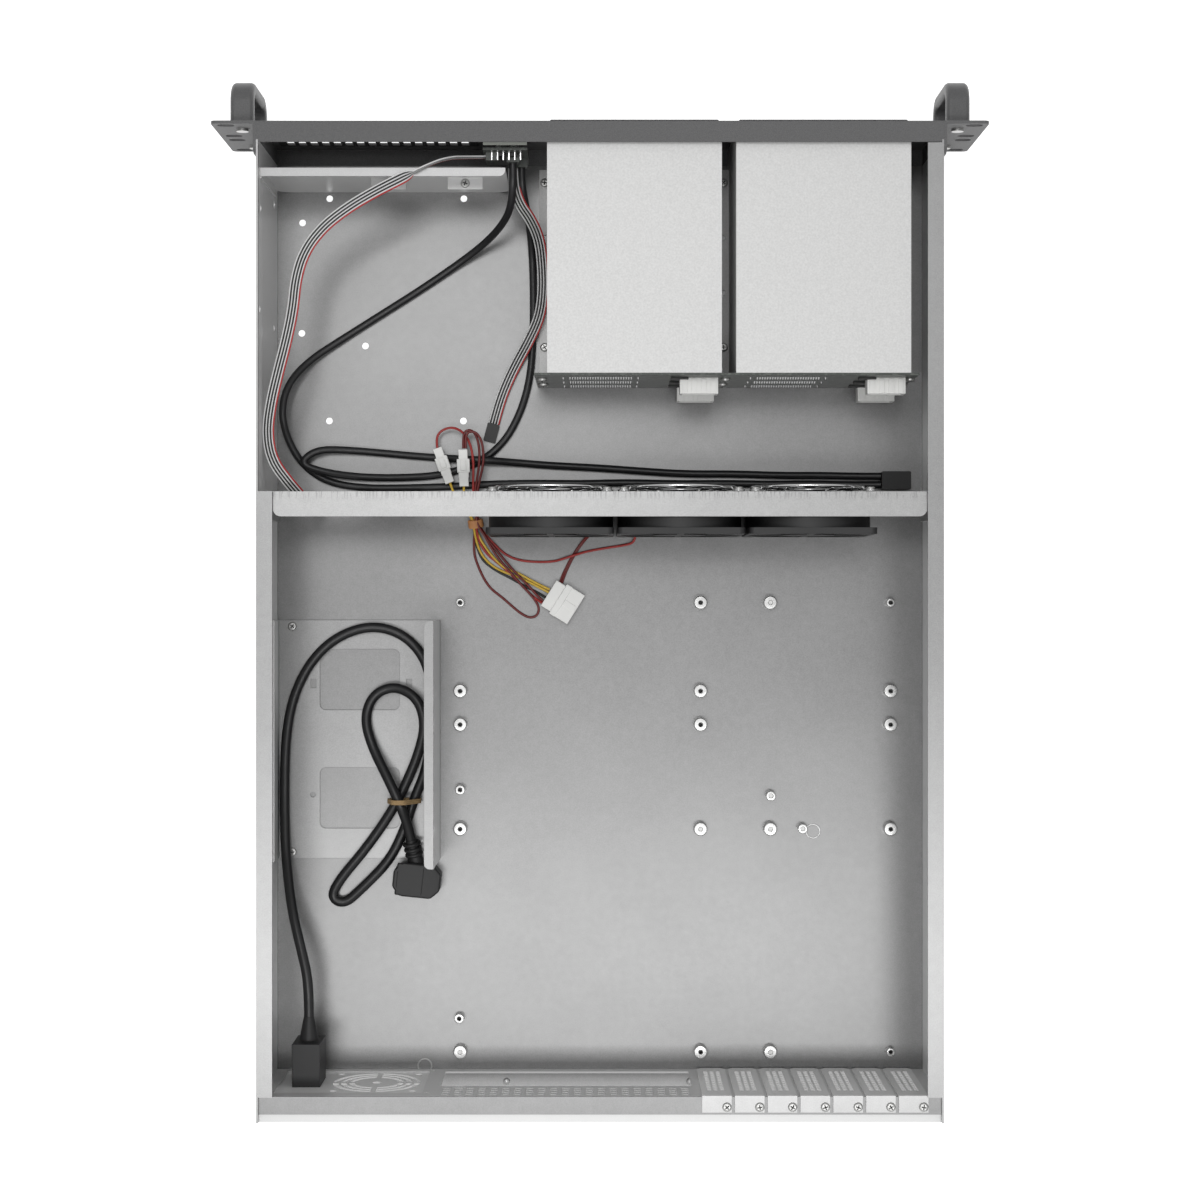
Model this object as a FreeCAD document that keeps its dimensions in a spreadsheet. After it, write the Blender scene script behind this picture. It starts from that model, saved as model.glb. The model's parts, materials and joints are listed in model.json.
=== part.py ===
import FreeCAD, Part
import math
import os
import Sketcher

# Empty 2U rackmount server case, without its top cover. Millimetres, +Z up, the front
# panel faces -Y, and the origin is under the middle of the whole object.

SIZES = {
    # Steel case
    "body_width": 426.0,
    "body_height": 88.0,
    "body_depth": 621.0,
    "case_sheet": 1.2,
    "top_lip": 10.0,
    "lip_joint": 0.4,
    "bend": 1.0,
    # Front panel, ears and handles
    "panel_flange": 13.2,
    "tray_setback": 11.7,
    "ear_width": 28.3,
    "ear_sheet": 2.0,
    "ear_flange": 20.0,
    "ear_round": 6.0,
    "rack_hole_inset": 8.75,
    "rack_slot_length": 10.5,
    "rack_slot_height": 6.8,
    "rack_low_hole": 5.95,
    "rack_hole_step": 31.75,
    "rack_pair_step": 12.7,
    "handle_reach": 29.0,
    "handle_height": 62.0,
    "handle_width": 14.7,
    "handle_bar": 8.5,
    "handle_inset": 17.3,
    "handle_bow": 14.0,
    "handle_round": 3.0,
    "handle_screw_bore": 2.0,
    # Drive cages
    "cage_width": 108.6,
    "cage_side_gap": 19.8,
    "cage_gap": 8.9,
    "cage_top_gap": 4.0,
    "cage_sheet": 1.0,
    "cage_depth": 154.6,
    "cage_foot": 6.9,
    "cage_foot_hole": 1.7,
    "cage_foot_first": 21.8,
    "cage_foot_step": 36.0,
    "rail_width": 2.5,
    "rail_sheet": 0.8,
    # Drive carriers
    "carrier_play": 0.3,
    "carrier_side_play": 0.8,
    "window_play": 0.4,
    "bezel_proud": 2.0,
    "bezel_depth": 14.0,
    "carrier_length": 148.0,
    "carrier_rail": 2.0,
    "carrier_rail_height": 18.0,
    "carrier_floor": 1.4,
    "carrier_window": 50.0,
    "carrier_rib": 10.0,
    "lever_well": 7.0,
    "lever_frame": 4.5,
    "lever_edge_play": 0.5,
    "lever_sheet": 4.0,
    "lever_pivot_inset": 6.5,
    "lever_pin": 1.2,
    "lever_pin_play": 0.08,
    "lever_pin_reach": 1.6,
    "lever_grip": 6.0,
    # Backplanes
    "board_sheet": 1.6,
    "backplane_low": 3.0,
    "backplane_over": 8.0,
    "backplane_middle_over": 1.1,
    "backplane_left_over": 5.2,
    "drive_socket_width": 42.0,
    "drive_socket_height": 6.4,
    "drive_socket_depth": 6.0,
    "drive_socket_offset": 21.0,
    "power_socket_width": 24.0,
    "power_socket_depth": 10.2,
    "power_socket_height": 12.0,
    "power_socket_wall": 1.6,
    # Control board, buttons and lights
    "control_inset": 26.5,
    "control_width": 27.8,
    "control_low": 27.0,
    "control_height": 48.0,
    "control_setback": 14.2,
    "usb_width": 14.2,
    "usb_height": 16.0,
    "usb_low": 29.5,
    "usb_recess": 0.6,
    "usb_port_width": 12.4,
    "usb_port_height": 5.2,
    "usb_port_depth": 10.0,
    "button_play": 0.35,
    "button_flange": 1.4,
    "button_flange_sheet": 1.3,
    "button_proud": 1.6,
    "button_travel": 1.2,
    "power_button_width": 9.0,
    "power_button_height": 68.0,
    "reset_button_radius": 1.8,
    "reset_button_height": 58.0,
    "switch_width": 5.0,
    "switch_depth": 3.2,
    "header_width": 7.6,
    "header_depth": 5.4,
    "light_radius": 1.5,
    "light_play": 0.1,
    "light_low": 48.8,
    "light_step": 4.2,
    # Vent insert in the front panel
    "vent_side_gap": 6.0,
    "vent_width": 128.0,
    "vent_low": 17.0,
    "vent_top_gap": 8.0,
    "vent_overlap": 2.0,
    "vent_sheet": 0.8,
    "vent_slot_width": 4.8,
    "vent_slot_height": 17.0,
    "vent_pitch": 7.5,
    "vent_row_pitch": 20.0,
    # Front bracket
    "bracket_setback": 28.1,
    "bracket_flange": 5.3,
    "bracket_top_gap": 6.0,
    "bracket_clear": 26.0,
    "bracket_corner": 13.0,
    "bracket_tab": 5.0,
    "lug_width": 22.0,
    "lug_depth": 7.4,
    "lug_height": 55.0,
    "lug_first": 15.5,
    "lug_second": 64.0,
    # Fan wall and fans
    "fan_wall_setback": 229.5,
    "fan_wall_top_gap": 2.8,
    "fan_wall_flange": 15.5,
    "fan_wall_tab": 16.0,
    "fan_wall_round": 5.0,
    "cable_hole_low": 8.0,
    "cable_hole_height": 64.0,
    "cable_hole_inset": 10.0,
    "cable_hole_width": 44.0,
    "cable_hole_round": 4.0,
    "fan_top_gap": 1.0,
    "fan_gap": 2.0,
    "fan_low": 3.0,
    "fan_depth": 25.0,
    "fan_first": 181.7,
    "fan_rim": 2.0,
    "fan_duct": 1.6,
    "fan_flange": 4.0,
    "fan_corner": 4.0,
    "fan_hole_inset": 4.25,
    "fan_hole": 2.2,
    "hub_radius": 17.0,
    "hub_base": 3.0,
    "hub_play": 0.5,
    "axle": 1.5,
    "axle_play": 0.06,
    "strut_width": 4.0,
    "blade_tip_play": 1.0,
    "blade_sheet": 1.6,
    "blade_chord": 20.0,
    "blade_root_pitch": 48.0,
    "blade_tip_pitch": 28.0,
    "guard_wire": 0.9,
    "guard_rim": 3.5,
    "guard_inner": 20.0,
    "guard_reach": 4.2,
    # Power supply shelf
    "shelf_sheet": 1.2,
    "shelf_width": 107.0,
    "shelf_length": 156.5,
    "shelf_setback": 138.5,
    "shelf_side_height": 24.0,
    "shelf_wall_height": 65.0,
    "shelf_flange": 6.0,
    "shelf_window_side": 26.8,
    "shelf_window_width": 52.3,
    "shelf_window_length": 40.0,
    "shelf_window_first": 19.1,
    "shelf_window_step": 77.7,
    "shelf_window_round": 4.0,
    # Board standoffs
    "standoff_height": 6.5,
    "standoff_radius": 4.4,
    "stud_radius": 2.75,
    "standoff_bore": 1.4,
    "board_first_gap": 120.2,
    "board_column_b": 157.48,
    "board_column_c": 203.2,
    "board_column_d": 281.94,
    "board_row_a": 12.1,
    "board_row_b": 158.1,
    "board_row_c": 226.5,
    "board_row_d": 248.5,
    "board_row_e": 306.4,
    # Rear panel
    "rear_setback": 16.0,
    "rear_sheet": 1.2,
    "rear_top_gap": 2.6,
    "rear_flange": 11.0,
    "rear_step": 1.2,
    "board_window_width": 158.75,
    "board_window_side": 110.8,
    "board_window_low": 9.7,
    "board_window_height": 44.4,
    "slit_width": 4.6,
    "slit_pitch": 7.5,
    "slit_top_gap": 5.2,
    "slit_low": 60.0,
    "slot_pitch": 20.32,
    "slot_first": 14.75,
    "slot_window_width": 13.0,
    "slot_window_low": 12.0,
    "slot_window_top_gap": 7.4,
    "cover_width": 18.4,
    "cover_low": 3.0,
    "cover_sheet": 0.9,
    "cover_tab": 9.6,
    "cover_chamfer": 3.0,
    "cover_slit_width": 2.6,
    "cover_slit_height": 4.2,
    "cover_slit_pitch": 4.0,
    "cover_slit_row_pitch": 5.3,
    "cover_screw_offset": 6.2,
    # Power supply end plate, its fan grille and inlet
    "end_plate_width": 103.0,
    "end_plate_side": 2.6,
    "end_plate_low": 3.0,
    "end_plate_top_gap": 6.4,
    "end_plate_lap": 5.0,
    "grille_side": 68.7,
    "grille_height": 38.0,
    "grille_disc": 12.3,
    "grille_slot": 3.6,
    "grille_ring": 1.6,
    "grille_spoke": 3.2,
    "grille_centre_hole": 2.9,
    "grille_hole_spread": 50.0,
    "grille_hole": 2.2,
    "inlet_side": 25.1,
    "inlet_width": 18.0,
    "inlet_low": 21.0,
    "inlet_height": 31.5,
    "inlet_depth": 28.4,
    "inlet_lip": 2.6,
    "inlet_proud": 2.0,
    "inlet_well": 15.0,
    "inlet_wall": 2.2,
    "inlet_pin_width": 2.0,
    "relief_length": 15.0,
    "relief_root": 6.2,
    # Small fasteners
    "screw_head": 2.9,
    "screw_head_height": 1.5,
    "screw_core": 1.45,
    "screw_length": 2.0,
    "screw_play": 0.1,
    # Leads
    "power_lead_radius": 3.25,
    "usb_lead_radius": 2.4,
    "ribbon_radius": 2.0,
    "wire_radius": 1.5,
    "plug_length": 31.0,
    "plug_width": 22.0,
    "plug_height": 16.0,
    "plug_corner": 5.5,
    "band_reach": 5.2,
    "band_width": 3.0,
    "band_sheet": 0.7,
}


class Size:
    """A number with the sheet expression that gives it, so that code and document agree."""

    def __init__(self, number, text):
        self.number = float(number)
        self.text = text

    def __float__(self):
        return self.number

    def __add__(self, other):
        other = as_size(other)
        return Size(self.number + other.number, f"({self.text} + {other.text})")

    def __sub__(self, other):
        other = as_size(other)
        return Size(self.number - other.number, f"({self.text} - {other.text})")

    def __mul__(self, other):
        other = as_size(other)
        return Size(self.number * other.number, f"({self.text} * {other.text})")

    def __truediv__(self, other):
        other = as_size(other)
        return Size(self.number / other.number, f"({self.text} / {other.text})")

    def __neg__(self):
        return Size(-self.number, f"(0 - {self.text})")

    def __radd__(self, other):
        return as_size(other) + self

    def __rsub__(self, other):
        return as_size(other) - self

    def __rmul__(self, other):
        return as_size(other) * self


def as_size(item):
    """Any plain number as a size of its own."""
    return item if isinstance(item, Size) else Size(item, repr(float(item)))


class Sheet:
    """The driving dimensions: each attribute is a cell of the spreadsheet."""

    def __init__(self, document, numbers):
        cells = document.addObject("Spreadsheet::Sheet", "Sizes")
        for row, (alias, number) in enumerate(numbers.items(), start=1):
            cells.set(f"A{row}", alias)
            cells.set(f"B{row}", str(number))
            cells.setAlias(f"B{row}", alias)
            setattr(self, alias, Size(number, f"Sizes.{alias}"))


doc = FreeCAD.newDocument("server_case")
s = Sheet(doc, SIZES)
doc.recompute()
Vector = FreeCAD.Vector
nodes = {}


# ---------------------------------------------------------------- building tools

PLANES = {"X": ("YZ_Plane", 1), "Y": ("XZ_Plane", -1), "Z": ("XY_Plane", 1)}
AXES = {"X": Vector(1, 0, 0), "Y": Vector(0, 1, 0), "Z": Vector(0, 0, 1)}


def bind(item, property_name, size):
    """Tie one property of a document object to the sheet."""
    item.setExpression(property_name, as_size(size).text)


def node(name, item):
    """Name a finished piece: its label is the name of its file."""
    item.Label = name
    nodes[name] = item
    return item


def new_body(name):
    return doc.addObject("PartDesign::Body", f"{name}_body")


def new_sketch(body, axis, level):
    """A sketch square to an axis: across X it reads Y and Z, across Y it reads X and Z."""
    role, sign = PLANES[axis]
    plane = next(item for item in body.Origin.OriginFeatures if item.Role == role)
    sketch = body.newObject("Sketcher::SketchObject", f"{body.Name}_sketch")
    sketch.AttachmentSupport = [(plane, "")]
    sketch.MapMode = "FlatFace"
    bind(sketch, "AttachmentOffset.Base.z", level * sign)
    return sketch


def pin(sketch, kind, geometry, point, size):
    """Hold a point of the sketch at a distance from its origin."""
    number = sketch.addConstraint(Sketcher.Constraint(kind, -1, 1, geometry, point, float(size)))
    bind(sketch, f"Constraints[{number}]", size)


def draw_outline(sketch, corners):
    """A closed outline of straight lines through the corners."""
    first = sketch.GeometryCount
    points = [Vector(float(across), float(up), 0) for across, up in corners]
    for start, end in zip(points, points[1:] + points[:1]):
        sketch.addGeometry(Part.LineSegment(start, end), False)
    for index, (across, up) in enumerate(corners):
        following = first + (index + 1) % len(corners)
        sketch.addConstraint(Sketcher.Constraint("Coincident", first + index, 2, following, 1))
        pin(sketch, "DistanceX", first + index, 1, across)
        pin(sketch, "DistanceY", first + index, 1, up)


def draw_circle(sketch, across, up, radius):
    circle = Part.Circle(Vector(float(across), float(up), 0), Vector(0, 0, 1), float(radius))
    geometry = sketch.addGeometry(circle, False)
    pin(sketch, "DistanceX", geometry, 3, across)
    pin(sketch, "DistanceY", geometry, 3, up)
    number = sketch.addConstraint(Sketcher.Constraint("Radius", geometry, float(radius)))
    bind(sketch, f"Constraints[{number}]", radius)


def rectangle(across, up):
    """The corners of a rectangle from its two ranges."""
    return [(across[0], up[0]), (across[1], up[0]), (across[1], up[1]), (across[0], up[1])]


def pad(body, axis, outline, start, end):
    """Add the outline to the body, from start to end along the axis."""
    sketch = new_sketch(body, axis, start if PLANES[axis][1] > 0 else end)
    draw_outline(sketch, outline)
    feature = body.newObject("PartDesign::Pad", f"{body.Name}_pad")
    feature.Profile = sketch
    bind(feature, "Length", end - start)
    return feature


def pocket(body, axis, start, end, outlines=(), circles=()):
    """Cut outlines and circles through the body, from start to end along the axis."""
    sketch = new_sketch(body, axis, end if PLANES[axis][1] > 0 else start)
    for outline in outlines:
        draw_outline(sketch, outline)
    for across, up, radius in circles:
        draw_circle(sketch, across, up, radius)
    feature = body.newObject("PartDesign::Pocket", f"{body.Name}_pocket")
    feature.Profile = sketch
    bind(feature, "Length", end - start)
    return feature


def repeat(body, feature, axis, step, count):
    """Repeat a cut along one of the body's axes."""
    line = next(item for item in body.Origin.OriginFeatures if item.Role == f"{axis}_Axis")
    pattern = body.newObject("PartDesign::LinearPattern", f"{body.Name}_pattern")
    pattern.Originals = [feature]
    pattern.Direction = (line, [""])
    pattern.Mode = "Spacing"
    bind(pattern, "Offset", step)
    pattern.Occurrences = count
    body.Tip = pattern
    return pattern


def round_edges(body, radius, wanted):
    """Round the edges of the body's latest form that the test picks by their middle and run."""
    doc.recompute()
    base = body.Tip
    names = []
    for index, edge in enumerate(base.Shape.Edges, start=1):
        middle = edge.valueAt((edge.FirstParameter + edge.LastParameter) / 2)
        run = edge.Vertexes[-1].Point - edge.Vertexes[0].Point
        if wanted(middle, run):
            names.append(f"Edge{index}")
    fillet = body.newObject("PartDesign::Fillet", f"{body.Name}_fillet")
    fillet.Base = (base, names)
    bind(fillet, "Radius", radius)
    return fillet


def near(number, size, reach=0.05):
    return abs(number - float(size)) < reach


def along(run, axis):
    """Whether an edge runs along the axis."""
    return run.Length > 0 and abs(run.dot(AXES[axis])) > 0.999 * run.Length


def block(name, low, high):
    """A box between two corners."""
    item = doc.addObject("Part::Box", name)
    for side, start, end in zip(("Length", "Width", "Height"), low, high):
        bind(item, side, as_size(end) - start)
    for letter, start in zip("xyz", low):
        bind(item, f"Placement.Base.{letter}", start)
    return item


def rod(name, axis, foot, radius, length):
    """A cylinder that stands on its foot and runs along the axis."""
    item = doc.addObject("Part::Cylinder", name)
    item.Placement.Rotation = FreeCAD.Rotation(Vector(0, 0, 1), AXES[axis])
    bind(item, "Radius", radius)
    bind(item, "Height", length)
    for letter, start in zip("xyz", foot):
        bind(item, f"Placement.Base.{letter}", start)
    return item


def cut(name, base, tool):
    item = doc.addObject("Part::Cut", name)
    item.Base = base
    item.Tool = tool
    return item


def fuse(name, pieces):
    item = doc.addObject("Part::MultiFuse", name)
    item.Shapes = pieces
    item.Refine = True
    return item


def group(name, pieces):
    item = doc.addObject("Part::Compound", name)
    item.Links = pieces
    return item


def copy(name, source, shift):
    """The same piece again, moved by the shift."""
    item = group(name, [source])
    for letter, distance in zip("xyz", shift):
        bind(item, f"Placement.Base.{letter}", distance)
    return item


# ---------------------------------------------------------------- shared places

half = s.body_width / 2
front = s.handle_reach / 2 - s.body_depth / 2
rear = s.handle_reach / 2 + s.body_depth / 2
panel_back = front + s.case_sheet
tray_front = front + s.tray_setback
floor = s.case_sheet
inside = half - s.case_sheet
rear_wall = rear - s.rear_setback
fan_wall_face = front + s.fan_wall_setback
fan_wall_back = fan_wall_face + s.case_sheet
cage_top = s.body_height - s.cage_top_gap
bracket_top = s.body_height - s.bracket_top_gap
fan_wall_top = s.body_height - s.fan_wall_top_gap
rear_top = s.body_height - s.rear_top_gap
past = 1.0


# ---------------------------------------------------------------- screws
# One kind of pan-head sheet screw holds brackets, cages, covers and the shelf. A screw is
# (x, y, z of the surface under its head, and the axis that it is driven along).

def screw_shape(place, way):
    """Head and core of one screw, as one turned solid driven along the given way."""
    head = float(s.screw_head)
    rise = float(s.screw_head_height)
    core = float(s.screw_core)
    length = float(s.screw_length)
    side = [Vector(0, 0, rise), Vector(head * 0.6, 0, rise), Vector(head, 0, rise * 0.45),
            Vector(head, 0, 0), Vector(core, 0, 0), Vector(core, 0, -length),
            Vector(0, 0, -length), Vector(0, 0, rise)]
    turned = Part.Face(Part.makePolygon(side)).revolve(Vector(0, 0, 0), Vector(0, 0, 1), 360)
    turned.Placement = FreeCAD.Placement(Vector(*[float(part) for part in place]),
                                         FreeCAD.Rotation(Vector(0, 0, -1), way))
    return turned


def screw_holes(name, screws):
    """The clearance holes for a list of screws, to cut from the sheets that they pass."""
    reach = float(s.screw_length) + 1.0
    radius = float(s.screw_core) + float(s.screw_play)
    drills = []
    for place, way in screws:
        foot = Vector(*[float(part) for part in place]) - way * 0.5
        drills.append(Part.makeCylinder(radius, reach, foot, way))
    item = doc.addObject("Part::Feature", name)
    item.Shape = Part.makeCompound(drills)
    return item


DOWN = Vector(0, 0, -1)
BACKWARD = Vector(0, 1, 0)
FORWARD = Vector(0, -1, 0)
RIGHT = Vector(1, 0, 0)
LEFT = Vector(-1, 0, 0)


# ---------------------------------------------------------------- base tray
# One folded sheet: floor, two side walls and their inward top lips.

lip_low = s.body_height - s.case_sheet
tray = new_body("base_tray")
pad(tray, "Y", [(-half, 0), (half, 0), (half, s.body_height), (inside, s.body_height),
                (inside, floor), (-inside, floor), (-inside, s.body_height),
                (-half, s.body_height)], tray_front, rear)
round_edges(tray, s.bend, lambda middle, run: along(run, "Y") and near(middle.z, 0))
left_lip_front = front + s.panel_flange + s.lip_joint
pad(tray, "Z", rectangle((-inside - s.case_sheet / 2, s.top_lip - half), (left_lip_front, rear_wall)),
    lip_low, s.body_height)
pad(tray, "Z", rectangle((half - s.top_lip, inside + s.case_sheet / 2), (fan_wall_face, rear_wall)),
    lip_low, s.body_height)
floor_hole = 2.2
pocket(tray, "Z", -past, floor + past, circles=[
    (half - inset, tray_front + along_floor, floor_hole)
    for inset, along_floor in ((35.3, 21.4), (123.5, 21.4), (17.5, 37.3), (17.0, 109.9),
                               (58.8, 118.2), (35.1, 167.5), (123.2, 167.5))])
pocket(tray, "X", inside - past, half + past, circles=[
    (tray_front + along_wall, up, floor_hole)
    for along_wall, up in ((40.7, s.body_height - 12.0), (28.5, 18.0),
                           (104.3, s.body_height - 8.0), (108.5, 18.0))])
node("base_tray", tray)


# ---------------------------------------------------------------- front panel
# A folded channel with side returns, and windows for the carriers, the controls and the vents.

left_cage = (s.cage_side_gap - half, s.cage_side_gap - half + s.cage_width)
middle_cage = (left_cage[1] + s.cage_gap, left_cage[1] + s.cage_gap + s.cage_width)
cages = {"left": left_cage, "middle": middle_cage}
cage_floor = floor + s.cage_sheet
cage_ceiling = cage_top - s.cage_sheet
bay_pitch = (cage_ceiling - cage_floor) / 3
carrier_width = s.cage_width - 2 * s.cage_sheet - 2 * s.carrier_side_play
carrier_height = bay_pitch - s.rail_sheet - 2 * s.carrier_play
control_left = middle_cage[1] + s.control_inset - s.control_width / 2
control_middle = middle_cage[1] + s.control_inset
vent_left = control_left + s.control_width + s.vent_side_gap
vent = (vent_left, vent_left + s.vent_width)
vent_top = s.body_height - s.vent_top_gap
lights = [(control_middle + side * s.light_step, s.light_low + row * s.light_step)
          for row in (0, 1) for side in (-1, 1)]

panel = new_body("front_panel")
pad(panel, "X", [(front, 0), (tray_front, 0), (tray_front, floor), (panel_back, floor),
                 (panel_back, lip_low), (front + s.panel_flange, lip_low),
                 (front + s.panel_flange, s.body_height), (front, s.body_height)], -half, half)
round_edges(panel, s.bend, lambda middle, run: along(run, "X") and near(middle.y, front)
            and (near(middle.z, 0) or near(middle.z, s.body_height)))
pocket(panel, "Z", lip_low - past, s.body_height + past, outlines=[
    rectangle(side, (tray_front, front + s.panel_flange + past))
    for side in ((inside, half + past), (-half - past, -inside))])
for side in (-half, inside):
    pad(panel, "X", rectangle((panel_back - s.case_sheet / 2, tray_front),
                              (floor - s.case_sheet / 2, lip_low + s.case_sheet / 2)),
        side, side + s.case_sheet)
carrier_windows = [rectangle((low + s.cage_sheet + s.carrier_side_play - s.window_play,
                              high - s.cage_sheet - s.carrier_side_play + s.window_play),
                             (cage_floor, cage_ceiling)) for low, high in cages.values()]
button_window = rectangle((control_middle - s.power_button_width / 2 - s.button_play,
                           control_middle + s.power_button_width / 2 + s.button_play),
                          (s.power_button_height - s.power_button_width / 2 - s.button_play,
                           s.power_button_height + s.power_button_width / 2 + s.button_play))
usb_window = rectangle((control_middle - s.usb_width / 2 - s.light_play,
                        control_middle + s.usb_width / 2 + s.light_play),
                       (s.usb_low - s.light_play, s.usb_low + s.usb_height + s.light_play))
vent_window = rectangle((vent[0] + s.vent_overlap, vent[1] - s.vent_overlap),
                        (s.vent_low + s.vent_overlap, vent_top - s.vent_overlap))
pocket(panel, "Y", front - past, panel_back + past,
       outlines=[*carrier_windows, button_window, usb_window, vent_window],
       circles=[(control_middle, s.reset_button_height, s.reset_button_radius + s.button_play),
                *[(across, up, s.light_radius + s.light_play) for across, up in lights]])
node("front_panel", panel)

# The vent insert: a perforated sheet that lies against the back of the panel's window.
grille = new_body("vent_grille")
pad(grille, "Y", rectangle(vent, (s.vent_low, vent_top)), panel_back, panel_back + s.vent_sheet)
vent_columns = 16
vent_rows = 3
vent_first = (vent[0] + vent[1] - s.vent_pitch * (vent_columns - 1) - s.vent_slot_width) / 2
vent_base = (s.vent_low + vent_top - s.vent_row_pitch * (vent_rows - 1) - s.vent_slot_height) / 2
vent_slots = pocket(grille, "Y", panel_back - past, panel_back + s.vent_sheet + past, outlines=[
    rectangle((vent_first, vent_first + s.vent_slot_width),
              (vent_base + s.vent_row_pitch * row, vent_base + s.vent_row_pitch * row + s.vent_slot_height))
    for row in range(vent_rows)])
repeat(grille, vent_slots, "X", s.vent_pitch, vent_columns)
node("vent_grille", grille)


# ---------------------------------------------------------------- rack ears and handles
# An ear is a folded angle with four rack slots. A handle is a rounded bow, screwed from behind.

ear_edge = half + s.ear_width
ear_back = front + s.ear_sheet
ear = new_body("ear_right")
pad(ear, "Z", [(half, front), (ear_edge, front), (ear_edge, ear_back), (half + s.ear_sheet, ear_back),
               (half + s.ear_sheet, front + s.ear_flange), (half, front + s.ear_flange)],
    0, s.body_height)
round_edges(ear, s.ear_round, lambda middle, run: along(run, "X") and near(middle.y, front + s.ear_flange))
round_edges(ear, s.handle_round, lambda middle, run: along(run, "Y") and near(middle.x, ear_edge))
slot_middle = ear_edge - s.rack_hole_inset
slot_reach = (s.rack_slot_length - s.rack_slot_height) / 2
slot_rise = s.rack_slot_height / 2
rack_rows = [s.rack_low_hole, s.rack_low_hole + s.rack_hole_step,
             s.rack_low_hole + s.rack_hole_step + s.rack_pair_step,
             s.rack_low_hole + 2 * s.rack_hole_step + s.rack_pair_step]
handle_middle = half + s.ear_width - s.handle_inset
handle_low = (s.body_height - s.handle_height) / 2
handle_top = handle_low + s.handle_height
handle_feet = [handle_low + s.handle_bar / 2, handle_top - s.handle_bar / 2]
pocket(ear, "Y", front - past, ear_back + past, outlines=[
    rectangle((slot_middle - slot_reach, slot_middle + slot_reach), (up - slot_rise, up + slot_rise))
    for up in rack_rows])
for side in (-slot_reach, slot_reach):
    pocket(ear, "Y", front - past, ear_back + past,
           circles=[(slot_middle + side, up, slot_rise) for up in rack_rows])
pocket(ear, "Y", front - past, ear_back + past,
       circles=[(handle_middle, up, s.handle_screw_bore + s.screw_play) for up in handle_feet])
node("ear_right", ear)

grip_out = front - s.handle_reach
bow = new_body("handle_right")
pad(bow, "X", [(front, handle_low), (grip_out, handle_low), (grip_out, handle_top),
               (front, handle_top), (front, handle_top - s.handle_bar),
               (grip_out + s.handle_bar, handle_top - s.handle_bar),
               (grip_out + s.handle_bar, handle_low + s.handle_bar),
               (front, handle_low + s.handle_bar)],
    handle_middle - s.handle_width / 2, handle_middle + s.handle_width / 2)
round_edges(bow, s.handle_bow, lambda middle, run: along(run, "X") and near(middle.y, grip_out))
round_edges(bow, s.handle_bow - s.handle_bar,
            lambda middle, run: along(run, "X") and near(middle.y, grip_out + s.handle_bar))
round_edges(bow, s.handle_round, lambda middle, run: not along(run, "X") and middle.y < float(front) - 0.5)
pocket(bow, "Y", front - s.handle_bar, front + past,
       circles=[(handle_middle, up, s.handle_screw_bore) for up in handle_feet])
node("handle_right", bow)


def mirrored(name, source):
    """The same piece for the other side of the case."""
    item = doc.addObject("Part::Mirroring", name)
    item.Source = source
    item.Base = Vector(0, 0, 0)
    item.Normal = Vector(1, 0, 0)
    return node(name, item)


mirrored("ear_left", ear)
mirrored("handle_left", bow)

# The handle screws come from behind the ear, up to the bow's end of the bore.
handle_screws = []
for side in (-1, 1):
    for up in handle_feet:
        core = rod("handle_screw_core", "Y", (handle_middle * side, front - s.handle_bar * 0.8, up),
                   s.handle_screw_bore - s.screw_play, s.handle_bar * 0.8 + s.ear_sheet + s.screw_play)
        head = rod("handle_screw_head", "Y", (handle_middle * side, ear_back, up),
                   s.handle_screw_bore * 1.9, s.screw_head_height)
        handle_screws.append(fuse("handle_screw", [core, head]))
node("handle_screws", group("handle_screws", handle_screws))


# ---------------------------------------------------------------- drive cages
# Each cage is a folded box, open front and back, with a foot flange and two pairs of rails.

cage_back = panel_back + s.cage_depth
foot_holes = [panel_back + s.cage_foot_first, panel_back + s.cage_foot_first + s.cage_foot_step,
              panel_back + s.cage_foot_first + 2 * s.cage_foot_step,
              panel_back + s.cage_foot_first + 3 * s.cage_foot_step]
sheet_screws = []
tray_screws = []
for side, (low, high) in cages.items():
    name = f"drive_cage_{side}"
    cage = new_body(name)
    pad(cage, "Y", rectangle((low, high), (floor, cage_top)), panel_back, cage_back)
    pocket(cage, "Y", panel_back - past, cage_back + past,
           outlines=[rectangle((low + s.cage_sheet, high - s.cage_sheet), (cage_floor, cage_ceiling))])
    foot_sheet = s.cage_sheet
    pad(cage, "Z", rectangle((high - foot_sheet / 2, high + s.cage_foot),
                             (panel_back + s.panel_flange, cage_back)), floor, floor + foot_sheet)
    for bay in (1, 2):
        rail_top = cage_floor + bay_pitch * bay
        for inner, outer in ((low + s.cage_sheet / 2, low + s.cage_sheet + s.rail_width),
                             (high - s.cage_sheet - s.rail_width, high - s.cage_sheet / 2)):
            pad(cage, "Y", rectangle((inner, outer), (rail_top - s.rail_sheet, rail_top)),
                panel_back + s.panel_flange, cage_back - s.cage_foot)
    foot_middle = high + s.cage_foot / 2
    pocket(cage, "Z", floor - past, floor + foot_sheet + past,
           circles=[(foot_middle, along_foot, s.cage_foot_hole) for along_foot in foot_holes])
    node(name, cage)
    for along_foot in (foot_holes[0], foot_holes[3]):
        screw = ((foot_middle, along_foot, floor + foot_sheet), DOWN)
        sheet_screws.append(screw)
        tray_screws.append(screw)


# ---------------------------------------------------------------- drive carriers and levers
# One carrier and its lever are drawn in the lowest bay of the left cage, then repeated in
# the six bays. The lever turns on a pin that is moulded on its end.

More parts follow.
